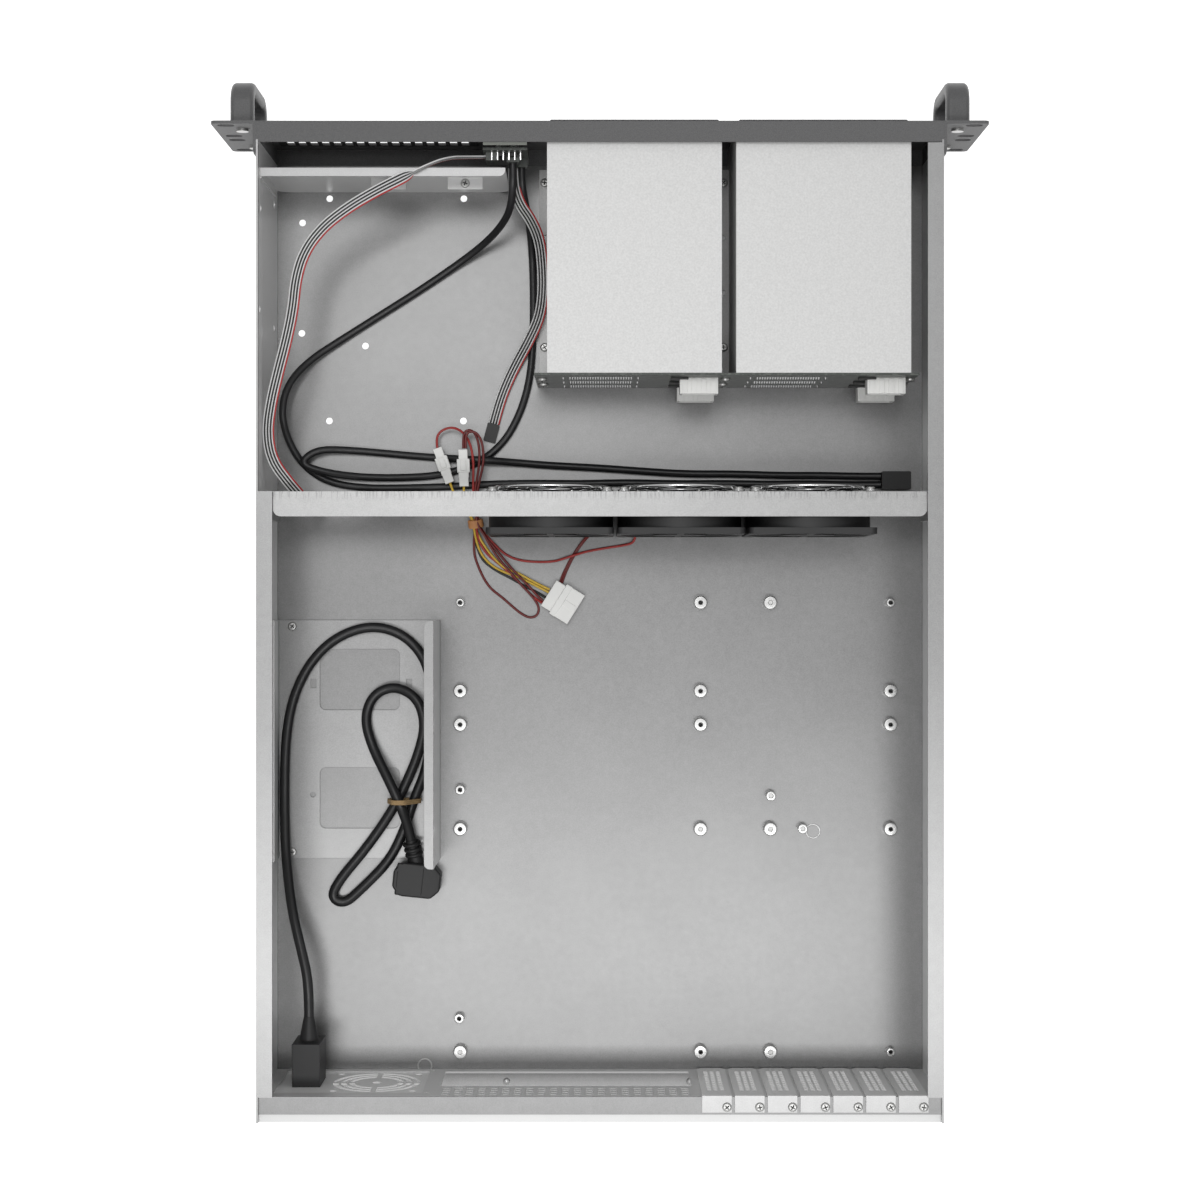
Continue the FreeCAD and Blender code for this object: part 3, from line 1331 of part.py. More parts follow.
for ring in range(3):
    inner_radius = s.grille_disc + (s.grille_slot + s.grille_ring) * ring + s.grille_ring
    outer_rod = rod("grille_outer", "Y", grille_foot, inner_radius + s.grille_slot, grille_through)
    inner_rod = rod("grille_inner", "Y", grille_foot, inner_radius, grille_through)
    slots.append(cut("grille_ring", outer_rod, inner_rod))
grille_reach = s.grille_disc + 3 * (s.grille_slot + s.grille_ring) + past
spokes = [block("grille_spoke", (grille_middle - grille_reach, rear_back - 2 * past,
                                 s.grille_height - s.grille_spoke / 2),
                (grille_middle + grille_reach, plate_back + 2 * past,
                 s.grille_height + s.grille_spoke / 2)),
          block("grille_spoke", (grille_middle - s.grille_spoke / 2, rear_back - 2 * past,
                                 s.grille_height - grille_reach),
                (grille_middle + s.grille_spoke / 2, plate_back + 2 * past,
                 s.grille_height + grille_reach))]
grille_cut = cut("grille_slots", group("grille_rings", slots), fuse("grille_spokes", spokes))
plate_screws = [((across, plate_back, up), FORWARD)
                for across in (end_left + s.end_plate_lap / 2, end_right - s.end_plate_lap / 2)
                for up in (s.end_plate_low + s.end_plate_lap, end_top - s.end_plate_lap)]
plate_drill = screw_holes("plate_drill", plate_screws)
node("supply_end_plate", cut("supply_end_plate", cut("plate_pierced", plate, grille_cut), plate_drill))
rear_final = cut("rear_panel", nodes["rear_panel"], screw_holes("rear_plate_drill", plate_screws))
nodes["rear_panel"].Label = "rear_panel_pierced"
node("rear_panel", rear_final)
sheet_screws += plate_screws

# The inlet: a moulded socket with a lip outside, three blades, and a tapered relief inside.
inlet_front = plate_back - s.inlet_depth
inlet = new_body("power_inlet")
inlet_play = s.screw_play
pad(inlet, "Y", rectangle((inlet_left + inlet_play, inlet_right - inlet_play),
                          (s.inlet_low + inlet_play, inlet_top - inlet_play)), inlet_front, plate_back)
pad(inlet, "Y", rectangle((inlet_left - s.inlet_lip, inlet_right + s.inlet_lip),
                          (s.inlet_low - s.inlet_lip, inlet_top + s.inlet_lip)),
    plate_back, plate_back + s.inlet_proud)
round_edges(inlet, s.inlet_lip * 0.9, lambda middle, run: along(run, "Y")
            and middle.y > float(plate_back))
inlet_back = plate_back + s.inlet_proud
pocket(inlet, "Y", inlet_back - s.inlet_well, inlet_back + past, outlines=[
    rectangle((inlet_left + s.inlet_wall, inlet_right - s.inlet_wall),
              (s.inlet_low + s.inlet_wall, inlet_top - s.inlet_wall))])
inlet_middle = ((inlet_left + inlet_right) / 2, (s.inlet_low + inlet_top) / 2)
pins = [block("inlet_pin",
              (inlet_middle[0] + side * s.inlet_width / 5 - s.inlet_pin_width / 2,
               inlet_back - s.inlet_well, inlet_middle[1] + rise * s.inlet_height / 5 - s.inlet_pin_width),
              (inlet_middle[0] + side * s.inlet_width / 5 + s.inlet_pin_width / 2,
               inlet_back - s.inlet_lip, inlet_middle[1] + rise * s.inlet_height / 5 + s.inlet_pin_width))
        for side, rise in ((-1, 0), (0, 1), (0, -1))]
relief = doc.addObject("Part::Cone", "inlet_relief")
relief.Placement.Rotation = FreeCAD.Rotation(Vector(0, 0, 1), FORWARD)
bind(relief, "Radius1", s.relief_root)
bind(relief, "Radius2", s.power_lead_radius)
bind(relief, "Height", s.relief_length)
for letter, start in zip("xyz", (inlet_middle[0], inlet_front, inlet_middle[1])):
    bind(relief, f"Placement.Base.{letter}", start)
node("power_inlet", fuse("power_inlet", [inlet, *pins, relief]))


# ---------------------------------------------------------------- sheet screws and tray holes

node("sheet_screws", doc.addObject("Part::Feature", "sheet_screws"))
nodes["sheet_screws"].Shape = Part.makeCompound([screw_shape(*screw) for screw in sheet_screws])
nodes["base_tray"].Label = "base_tray_folded"
node("base_tray", cut("base_tray", tray, screw_holes("tray_drill", tray_screws)))


# ---------------------------------------------------------------- leads
# Each lead is a round tube along straight runs joined by tangent arcs. The routes are chosen
# by hand, from where a lead leaves the case to its far end.

inlet_exit = [float(inlet_middle[0]), float(inlet_front - s.relief_length), float(inlet_middle[1])]
ROUTES = {
    "power_lead": [
        inlet_exit, [186.7, 247.0, 36.75], [191.4, 227.0, 35.4], [197.5, 206.0, 30.0],
        [202.0, 186.0, 20.0], [205.5, 164.0, 9.5], [206.6, 140.0, 6.2], [206.6, 113.0, 6.0],
        [205.5, 88.0, 6.0], [201.0, 64.0, 6.0], [190.0, 41.5, 6.0], [173.0, 25.0, 6.0],
        [150.0, 17.2, 6.0], [128.5, 23.0, 6.0], [113.5, 40.0, 6.0], [109.6, 64.0, 6.0],
        [109.8, 90.0, 6.2], [114.0, 113.0, 7.4], [122.4, 133.0, 8.6], [127.8, 151.0, 6.8],
        [138.0, 172.0, 6.2], [156.0, 190.0, 5.4], [167.5, 200.4, 5.0], [176.4, 196.0, 5.4],
        [171.0, 184.5, 6.2], [153.0, 163.5, 7.6], [136.6, 140.0, 9.6], [126.6, 121.0, 12.4],
        [118.2, 101.0, 13.6], [113.6, 82.0, 13.4], [119.0, 64.6, 11.0], [134.5, 56.8, 7.0],
        [149.0, 63.0, 6.2], [154.4, 79.0, 6.2], [148.6, 98.0, 8.4], [138.6, 116.0, 15.4],
        [130.8, 131.6, 19.8], [127.2, 141.0, 17.6], [125.0, 149.0, 14.2], [123.4, 157.0, 12.2]],
    "usb_lead_1": [
        [55.0, -274.8, 60.0], [55.0, -262.0, 60.0], [56.4, -249.0, 49.0], [63.0, -240.0, 33.0],
        [75.0, -231.0, 15.0], [92.0, -220.0, 4.8], [117.0, -203.0, 3.9], [144.0, -186.0, 3.9],
        [170.0, -169.5, 4.4], [190.0, -156.0, 8.0], [203.4, -140.0, 15.0], [207.6, -121.0, 17.0],
        [203.6, -102.0, 9.5], [194.0, -86.5, 4.4], [178.0, -76.0, 3.9], [154.0, -72.4, 3.9],
        [128.0, -72.6, 3.9], [100.0, -73.4, 3.9], [72.0, -75.2, 3.9], [44.0, -75.8, 3.9],
        [14.0, -75.4, 3.9], [-18.0, -76.2, 3.9], [-50.0, -75.3, 3.9], [-82.0, -75.6, 3.9],
        [-112.0, -75.0, 3.9], [-140.0, -75.4, 3.9], [-164.0, -74.6, 4.4], [-184.0, -74.6, 6.0]],
    "usb_lead_2": [
        [50.0, -274.8, 44.0], [50.0, -264.0, 44.0], [47.6, -252.0, 35.0], [45.4, -240.0, 19.0],
        [44.2, -224.0, 6.5], [43.6, -200.0, 3.9], [43.8, -172.0, 3.9], [45.6, -145.0, 3.9],
        [52.0, -122.0, 3.9], [63.0, -102.0, 3.9], [80.0, -88.6, 3.9], [104.0, -80.8, 4.0],
        [131.0, -79.2, 4.0], [158.0, -79.6, 5.4], [180.0, -82.4, 10.4], [196.5, -88.0, 11.2],
        [185.5, -97.6, 10.2], [165.0, -97.4, 5.6], [141.0, -95.4, 4.0], [120.0, -93.4, 3.9],
        [101.0, -92.2, 4.1], [87.6, -91.2, 9.4], [73.0, -90.4, 9.4], [57.0, -89.4, 4.6],
        [33.0, -87.4, 3.9], [4.0, -86.0, 3.9], [-26.0, -83.8, 3.9], [-56.0, -81.8, 3.9],
        [-88.0, -81.9, 3.9], [-118.0, -80.8, 3.9], [-146.0, -80.9, 3.9], [-168.0, -80.2, 5.0],
        [-184.0, -80.2, 6.0]],
    "switch_ribbon": [
        [71.8, -277.5, 66.0], [83.0, -277.5, 66.0], [95.0, -275.2, 75.6], [107.0, -269.0, 84.8],
        [123.0, -260.8, 84.8], [140.0, -252.8, 82.6], [157.0, -243.4, 80.0], [173.0, -231.6, 77.6],
        [184.5, -217.0, 75.6], [190.0, -200.0, 74.6], [191.8, -181.0, 74.0], [196.0, -161.0, 74.0],
        [201.0, -142.0, 74.0], [205.6, -123.0, 73.4], [208.4, -104.0, 72.0], [205.8, -87.0, 69.0],
        [197.0, -74.4, 65.0], [188.6, -64.0, 58.0], [184.8, -57.6, 46.0], [184.0, -56.0, 31.0],
        [184.0, -55.8, 14.4]],
    "light_ribbon": [
        [55.0, -274.8, 44.0], [55.0, -264.0, 44.0], [51.5, -252.5, 42.0], [44.5, -244.0, 34.0],
        [39.0, -233.0, 20.0], [37.4, -217.0, 8.0], [37.2, -201.0, 5.0], [39.2, -184.0, 8.8],
        [46.6, -168.0, 9.8], [55.4, -153.0, 5.0], [61.6, -140.0, 3.6], [66.4, -127.0, 3.4],
        [69.6, -114.8, 3.4]],
    "fan_lead": [
        [106.2, -98.3, 10.1], [109.0, -106.0, 10.1], [104.6, -114.0, 10.6], [95.0, -116.0, 11.2],
        [86.6, -110.6, 12.8], [81.8, -101.0, 15.0], [80.6, -90.0, 16.0], [80.0, -79.0, 14.6],
        [80.2, -67.0, 13.0], [80.4, -55.0, 9.0], [78.6, -43.0, 4.4], [71.0, -33.0, 3.0],
        [57.0, -27.4, 2.9], [40.0, -25.0, 2.9], [23.0, -24.4, 2.9], [7.0, -25.2, 2.9],
        [-6.0, -25.4, 3.2], [-16.4, -25.2, 4.6], [-23.0, -30.6, 5.8], [-23.0, -40.3, 5.8]],
    "board_power_lead": [
        [89.4, -72.8, 15.0], [89.6, -63.0, 14.4], [88.6, -52.0, 10.0], [86.0, -40.0, 4.6],
        [80.6, -28.6, 3.4], [71.4, -20.0, 3.2], [59.4, -16.4, 3.2], [46.2, -11.8, 4.6],
        [33.9, -4.1, 5.2]],
}
LEAD_RADII = {
    "power_lead": s.power_lead_radius, "usb_lead_1": s.usb_lead_radius,
    "usb_lead_2": s.usb_lead_radius, "switch_ribbon": s.ribbon_radius,
    "light_ribbon": s.ribbon_radius, "fan_lead": s.wire_radius, "board_power_lead": s.wire_radius,
}


def tube_path(name, route):
    """Straight runs through the route, joined at each point by the largest fair arc."""
    points = [Vector(*point) for point in route]
    runs = [end - start for start, end in zip(points, points[1:])]
    edges = []
    radii = []
    here = points[0]
    for before, corner, after in zip(runs, points[1:], runs[1:]):
        half_turn = before.getAngle(after) / 2
        reach = 0.45 * min(before.Length, after.Length)
        radii.append(reach / math.tan(half_turn))
        arc_start = corner - before.normalize() * reach
        arc_end = corner + Vector(after).normalize() * reach
        inward = (arc_start + arc_end) / 2 - corner
        middle = corner + inward.normalize() * radii[-1] * (1 / math.cos(half_turn) - 1)
        edges.append(Part.LineSegment(here, arc_start).toShape())
        edges.append(Part.Arc(arc_start, middle, arc_end).toShape())
        here = arc_end
    edges.append(Part.LineSegment(here, points[-1]).toShape())
    print(name, "arc radii", " ".join(f"{radius:.0f}" for radius in radii))
    return Part.Wire(edges)


def tube(name, route, radius):
    """A round tube along a route, with its volume compared with its section times length."""
    path = tube_path(name, route)
    start = Vector(*route[0])
    way = Vector(*route[1]) - start
    section = Part.Wire(Part.makeCircle(float(radius), start, way))
    item = doc.addObject("Part::Feature", name)
    item.Shape = path.makePipeShell([section], True, False)
    expected = math.pi * float(radius) ** 2 * path.Length
    print(f"{name} length {path.Length:.0f}, volume ratio {item.Shape.Volume / expected:.4f}")
    return node(name, item)


for name, route in ROUTES.items():
    tube(name, route, LEAD_RADII[name])


# ---------------------------------------------------------------- plugs and connectors

def turned_piece(name, shape, turn, place):
    """Put a piece drawn at the origin in its place, turned about the vertical."""
    piece = shape.copy()
    piece.Placement = FreeCAD.Placement(Vector(*place), FreeCAD.Rotation(Vector(0, 0, 1), turn))
    item = doc.addObject("Part::Feature", name)
    item.Shape = piece
    return item


def prism(outline, low, high):
    """An upright solid over an outline, between two levels."""
    corners = [Vector(across, along_y, low) for across, along_y in outline]
    return Part.Face(Part.makePolygon([*corners, corners[0]])).extrude(Vector(0, 0, high - low))


def rounded(shape, radius, wanted):
    return shape.makeFillet(radius, [edge for edge in shape.Edges if wanted(edge)])


def upright(edge):
    run = edge.Vertexes[-1].Point - edge.Vertexes[0].Point
    return along(run, "Z")


# The angled plug: an eight-sided head on a tapered relief that takes the end of the lead.
plug_length = float(s.plug_length)
plug_width = float(s.plug_width)
plug_corner = float(s.plug_corner)
plug_thick = float(s.plug_height)
long_half = plug_length / 2
wide_half = plug_width / 2
plug_head = prism([(-long_half, -wide_half + plug_corner), (-long_half + plug_corner, -wide_half),
                   (long_half - plug_corner, -wide_half), (long_half, -wide_half + plug_corner),
                   (long_half, wide_half - plug_corner), (long_half - plug_corner, wide_half),
                   (-long_half + plug_corner, wide_half), (-long_half, wide_half - plug_corner)],
                  0, plug_thick)
plug_head = rounded(plug_head, 1.6, lambda edge: True)
lead_end = Vector(*ROUTES["power_lead"][-1])
lead_way = (lead_end - Vector(*ROUTES["power_lead"][-2])).normalize()
plug_relief = Part.makeCone(float(s.power_lead_radius), float(s.relief_root) - 0.6,
                            float(s.relief_length) + 2, lead_end, lead_way)
plug_place = (119.4, 183.6, float(floor) + 0.3)
plug_body = turned_piece("plug_body", plug_head, -6, plug_place)
plug_tail = doc.addObject("Part::Feature", "plug_tail")
plug_tail.Shape = plug_relief
node("power_plug", fuse("power_plug", [plug_body, plug_tail]))

# The rubber band: a loop drawn tight round the three passes of the lead.
band_along = 133.6
band_sheet = float(s.band_sheet)
passes = [Vector(122.8, 0, 8.6), Vector(133.0, 0, 10.4), Vector(130.0, 0, 20.0)]
loops = []
for spare in (band_sheet, 0.0):
    loop = Part.makePolygon([*passes, passes[0]]).makeOffset2D(float(s.band_reach) + spare)
    loop.translate(Vector(0, band_along, 0))
    loops.append(Part.Face(loop).extrude(Vector(0, -float(s.band_width), 0)))
band = doc.addObject("Part::Feature", "lead_band")
band.Shape = loops[0].cut(loops[1])
node("lead_band", band)

# Header plugs: one for both USB leads, and one on the end of each ribbon.
usb_plug = rounded(Part.makeBox(19.0, 11.6, 9.4, Vector(-19.0, -5.8, 0)), 0.8, upright)
ribbon_plug = rounded(Part.makeBox(8.0, 12.0, 2.6, Vector(-4.0, 0, 0)), 0.5, upright)
standing_plug = rounded(Part.makeBox(8.0, 2.6, 12.8, Vector(-4.0, -1.3, 0)), 0.5, upright)
header_plugs = [turned_piece("usb_plug", usb_plug, 0, (-184.2, -77.4, float(floor) + 0.2)),
                turned_piece("ribbon_plug", ribbon_plug, -15, (69.7, -114.5, float(floor) + 0.2)),
                turned_piece("ribbon_plug", standing_plug, 0, (184.0, -55.8, float(floor) + 0.2))]
node("header_plugs", group("header_plugs", header_plugs))

# White fan connectors: two joined housings, with a rib along one side.
housing = Part.makeBox(7.4, 24.0, 5.8, Vector(-3.7, 0, 0))
groove = Part.makeBox(5.0, 1.0, 1.0, Vector(-2.5, 11.5, 4.8))
rib = Part.makeBox(2.4, 9.0, 0.9, Vector(-1.2, 13.0, 5.8))
housing = housing.cut(groove).fuse(rib)
fan_plugs = [turned_piece("fan_plug", housing, 20, (106.2, -98.2, 7.5)),
             turned_piece("fan_plug", housing, 2, (89.2, -97.0, 12.5))]
node("fan_connectors", group("fan_connectors", fan_plugs))

# White four-pin power connector: a body with two side keys and four sockets.
four_pin = Part.makeBox(22.6, 21.2, 7.8, Vector(-11.3, -10.6, 0))
sockets = [Part.makeCylinder(1.9, 10.0, Vector(-7.65 + 5.1 * number, -11.0, 3.9), BACKWARD)
           for number in range(4)]
four_pin = rounded(four_pin, 1.2, upright)
for socket in sockets:
    four_pin = four_pin.cut(socket)
node("power_connector", turned_piece("power_connector", four_pin, -122, (24.6, 1.8, float(floor) + 0.2)))


# ---------------------------------------------------------------- check and export

doc.recompute()
for item in doc.Objects:
    if "Invalid" in item.State or "Error" in item.State:
        raise RuntimeError(f"{item.Name} could not be built")
for name, item in nodes.items():
    if item.Shape.isNull() or not item.Shape.isValid():
        raise RuntimeError(f"{name} has no valid shape")

os.makedirs("parts", exist_ok=True)
for name, item in nodes.items():
    item.Shape.exportStep(f"parts/{name}.step")
print(len(nodes), "pieces written")
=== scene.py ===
import json
import math

import bmesh
import bpy
from mathutils import Matrix, Vector

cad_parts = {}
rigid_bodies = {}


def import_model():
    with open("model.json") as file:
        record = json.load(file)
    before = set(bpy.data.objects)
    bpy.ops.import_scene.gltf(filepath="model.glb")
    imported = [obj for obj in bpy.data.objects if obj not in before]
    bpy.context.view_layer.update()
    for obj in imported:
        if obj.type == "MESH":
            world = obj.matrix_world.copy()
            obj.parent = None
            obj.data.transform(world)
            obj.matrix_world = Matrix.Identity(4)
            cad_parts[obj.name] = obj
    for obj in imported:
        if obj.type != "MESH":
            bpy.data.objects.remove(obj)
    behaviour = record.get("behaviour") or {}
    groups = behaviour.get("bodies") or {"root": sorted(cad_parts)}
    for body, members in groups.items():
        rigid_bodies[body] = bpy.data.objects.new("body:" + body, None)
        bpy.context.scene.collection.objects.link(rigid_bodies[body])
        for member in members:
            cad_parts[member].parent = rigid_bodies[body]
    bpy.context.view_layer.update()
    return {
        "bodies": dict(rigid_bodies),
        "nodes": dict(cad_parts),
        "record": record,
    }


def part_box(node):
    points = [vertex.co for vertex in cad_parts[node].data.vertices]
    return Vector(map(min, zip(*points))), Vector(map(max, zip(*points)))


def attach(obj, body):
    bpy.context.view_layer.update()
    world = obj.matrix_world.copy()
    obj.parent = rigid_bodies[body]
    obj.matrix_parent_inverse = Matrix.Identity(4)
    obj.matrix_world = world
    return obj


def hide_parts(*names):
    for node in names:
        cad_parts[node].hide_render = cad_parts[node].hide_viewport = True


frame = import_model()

# Empty 2U rackmount server case, seen from above with its top cover off. Metres, +Z up,
# the front panel faces -Y.

nodes = frame["nodes"]
scene = bpy.context.scene
bpy.ops.object.select_all(action="DESELECT")


# ---------------------------------------- studio
# A plain pale floor, soft lamps over the rear of the case, over its front and over all of it,
# and a camera that looks straight down.

class Flow:
    """One output in a shader. Sums, products and comparisons of flows add Math nodes."""

    def __init__(self, finish, socket):
        self.finish = finish
        self.socket = socket

    def math(self, operation, *terms):
        return self.finish.node("ShaderNodeMath", {"operation": operation},
                                dict(enumerate(terms)))

    def __add__(self, other):
        return self.math("ADD", self, other)

    def __sub__(self, other):
        return self.math("SUBTRACT", self, other)

    def __mul__(self, other):
        return self.math("MULTIPLY", self, other)

    def __gt__(self, other):
        return self.math("GREATER_THAN", self, other)

    def __lt__(self, other):
        return self.math("LESS_THAN", self, other)

    def __rsub__(self, other):
        return self.math("SUBTRACT", other, self)

    def sine(self):
        return self.math("SINE", self)


class Finish:
    """A material with its Principled shader, and methods that add other nodes to it."""

    def __init__(self, name, colour, roughness, metallic=0.0):
        self.material = bpy.data.materials.new(name)
        self.material.use_nodes = True
        self.tree = self.material.node_tree
        self.shader = self.tree.nodes["Principled BSDF"]
        self.set("Base Color", (*colour, 1.0))
        self.set("Roughness", roughness)
        self.set("Metallic", metallic)

    def set(self, name, value):
        if isinstance(value, Flow):
            self.tree.links.new(value.socket, self.shader.inputs[name])
        else:
            self.shader.inputs[name].default_value = value

    def node(self, kind, settings=None, sockets=None, output=0):
        made = self.tree.nodes.new(kind)
        for name, value in (settings or {}).items():
            setattr(made, name, value)
        for name, value in (sockets or {}).items():
            if isinstance(value, Flow):
                self.tree.links.new(value.socket, made.inputs[name])
            else:
                made.inputs[name].default_value = value
        return Flow(self, made.outputs[output])

    def place(self):
        """The place on the piece, in metres."""
        return self.node("ShaderNodeTexCoord", output=3)

    def along(self, axis):
        """The place on the piece along one axis, in metres."""
        return self.node("ShaderNodeSeparateXYZ", {}, {"Vector": self.place()},
                         output="XYZ".index(axis))

    def noise(self, scale, detail=2.0, stretch=None):
        """Cloudy noise with so many cells to the metre, from 0 to 1."""
        place = self.place()
        if stretch:
            place = self.node("ShaderNodeMapping", {}, {"Vector": place, "Scale": stretch})
        return self.node("ShaderNodeTexNoise", {}, {"Vector": place, "Scale": scale,
                                                    "Detail": detail})

    def blend(self, share, first, second):
        """A colour between two colours."""
        return self.node("ShaderNodeMix", {"data_type": "RGBA"},
                         {0: share, 6: first if isinstance(first, Flow) else (*first, 1.0),
                          7: second if isinstance(second, Flow) else (*second, 1.0)}, output=2)

    def bump(self, height, depth, strength):
        """Raise the surface by a height from 0 to 1 times a depth in metres."""
        self.set("Normal", self.node("ShaderNodeBump", {}, {"Height": height, "Distance": depth,
                                                            "Strength": strength}))

    def grained(self, scale, depth, strength, detail=1.0):
        """A fine uneven surface, with so many grains to the metre."""
        self.bump(self.noise(scale, detail), depth, strength)

    def mottled(self, scale, first, second, detail=2.0):
        """Clouds of two near colours."""
        self.set("Base Color", self.blend(self.noise(scale, detail), first, second))

    def worn(self, scale, least, spread):
        """A shine that varies from place to place."""
        self.set("Roughness", self.noise(scale) * spread + least)


def added(name, data):
    """A new object in the scene."""
    holder = bpy.data.objects.new(name, data)
    scene.collection.objects.link(holder)
    return holder


def lamp(name, place, target, size, power):
    """A soft rectangular lamp that points at a target."""
    light = bpy.data.lights.new(name, "AREA")
    light.shape = "RECTANGLE"
    light.size, light.size_y = size
    light.energy = power
    holder = added(name, light)
    holder.location = place
    holder.rotation_euler = (Vector(target) - Vector(place)).to_track_quat("-Z", "Y").to_euler()


CAMERA_PLACE = (0.0, 0.0009, 1.491)
SKY = (0.9, 0.9, 0.9, 1.0)
SKY_STRENGTH = 0.65
PAPER_GLOW = 0.75
lens = bpy.data.cameras.new("camera")
lens.lens = 68.0
lens.sensor_width = 36.0
viewer = added("camera", lens)
viewer.location = CAMERA_PLACE
viewer.rotation_euler = (0.0, 0.0, math.pi)
scene.camera = viewer

lamp("rear_lamp", (0.0, 0.52, 1.9), (0.0, 0.23, 0.0), (1.4, 0.26), 8.0)
lamp("front_lamp", (0.16, -0.48, 1.9), (0.05, -0.15, 0.0), (0.8, 0.44), 4.5)
lamp("top_lamp", (0.0, 0.0, 2.6), (0.0, 0.0, 0.0), (3.0, 3.0), 3.0)
scene.view_settings.view_transform = "Standard"

world = bpy.data.worlds.new("studio")
world.use_nodes = True
scene.world = world
sky = world.node_tree.nodes["Background"]
sky.inputs["Color"].default_value = SKY
sky.inputs["Strength"].default_value = SKY_STRENGTH

bpy.ops.mesh.primitive_plane_add(size=8.0)
floor = bpy.context.object
floor.name = "studio_floor"
paper = Finish("studio_paper", (0.9, 0.9, 0.9), 0.8)
seen = paper.node("ShaderNodeLightPath")
glossy = paper.node("ShaderNodeLightPath", output=3)
glow = paper.blend(seen.math("MAXIMUM", seen, glossy), (0.0, 0.0, 0.0), (1.0, 1.0, 1.0))
paper.set("Emission Color", glow)
paper.set("Emission Strength", PAPER_GLOW)
floor.data.materials.append(paper.material)
bpy.ops.object.select_all(action="DESELECT")


# ---------------------------------------- round leads
# Black PVC leads that lie loose on the floor of the case. Each is one smooth line with a
# round section.

def lead_line(name, route, radius, finish):
    """A free lead along a route."""
    line = bpy.data.curves.new(name, "CURVE")
    line.dimensions = "3D"
    strand = line.splines.new("NURBS")
    strand.points.add(len(route) - 1)
    for point, place in zip(strand.points, route):
        point.co = (*place, 1.0)
    strand.order_u = 3
    strand.use_endpoint_u = True
    line.resolution_u = 8
    line.bevel_depth = radius
    line.bevel_resolution = 5
    line.use_fill_caps = True
    if finish:
        line.materials.append(finish.material)
    return added(name, line)


black_pvc = Finish("black_pvc", (0.012, 0.012, 0.013), 0.34)
black_pvc.worn(420.0, 0.26, 0.18)
black_pvc.grained(900.0, 0.00008, 0.5, 2.0)
POWER_RADIUS = 0.00325
USB_RADIUS = 0.0024

POWER_LEAD = [
    (0.1867, 0.2680, 0.03675), (0.1867, 0.2470, 0.03675), (0.1914, 0.2270, 0.0354),
    (0.1975, 0.2060, 0.0300), (0.2020, 0.1860, 0.0200), (0.2055, 0.1640, 0.0095),
    (0.2066, 0.1400, 0.0062), (0.2066, 0.1130, 0.0060), (0.2055, 0.0880, 0.0060),
    (0.2010, 0.0640, 0.0060), (0.1900, 0.0415, 0.0060), (0.1730, 0.0250, 0.0060),
    (0.1500, 0.0172, 0.0060), (0.1285, 0.0230, 0.0060), (0.1135, 0.0400, 0.0060),
    (0.1096, 0.0640, 0.0060), (0.1098, 0.0900, 0.0062), (0.1140, 0.1130, 0.0074),
    (0.1224, 0.1330, 0.0086), (0.1278, 0.1510, 0.0068), (0.1380, 0.1720, 0.0062),
    (0.1560, 0.1900, 0.0054), (0.1675, 0.2004, 0.0050), (0.1764, 0.1960, 0.0054),
    (0.1710, 0.1845, 0.0062), (0.1530, 0.1635, 0.0076), (0.1366, 0.1400, 0.0096),
    (0.1266, 0.1210, 0.0124), (0.1182, 0.1010, 0.0136), (0.1136, 0.0820, 0.0134),
    (0.1190, 0.0646, 0.0110), (0.1345, 0.0568, 0.0070), (0.1490, 0.0630, 0.0062),
    (0.1544, 0.0790, 0.0062), (0.1486, 0.0980, 0.0084), (0.1386, 0.1160, 0.0154),
    (0.1308, 0.1316, 0.0198), (0.1272, 0.1410, 0.0176), (0.1250, 0.1490, 0.0142),
    (0.1234, 0.1570, 0.0122)]
power_lead = lead_line("mains_lead", POWER_LEAD, POWER_RADIUS, black_pvc)
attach(power_lead, "chassis")
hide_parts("power_lead")

USB_LEAD_1 = [
    (0.0550, -0.2748, 0.0600), (0.0550, -0.2620, 0.0600), (0.0564, -0.2490, 0.0490),
    (0.0630, -0.2400, 0.0330), (0.0750, -0.2310, 0.0150), (0.0920, -0.2200, 0.0048),
    (0.1170, -0.2030, 0.0039), (0.1440, -0.1860, 0.0039), (0.1700, -0.1695, 0.0044),
    (0.1900, -0.1560, 0.0080), (0.2034, -0.1400, 0.0150), (0.2076, -0.1210, 0.0170),
    (0.2036, -0.1020, 0.0095), (0.1940, -0.0865, 0.0044), (0.1780, -0.0760, 0.0039),
    (0.1540, -0.0724, 0.0039), (0.1280, -0.0726, 0.0039), (0.1000, -0.0734, 0.0039),
    (0.0720, -0.0752, 0.0039), (0.0440, -0.0758, 0.0039), (0.0140, -0.0754, 0.0039),
    (-0.0180, -0.0762, 0.0039), (-0.0500, -0.0753, 0.0039), (-0.0820, -0.0756, 0.0039),
    (-0.1120, -0.0750, 0.0039), (-0.1400, -0.0754, 0.0039), (-0.1640, -0.0746, 0.0044),
    (-0.1840, -0.0746, 0.0060)]
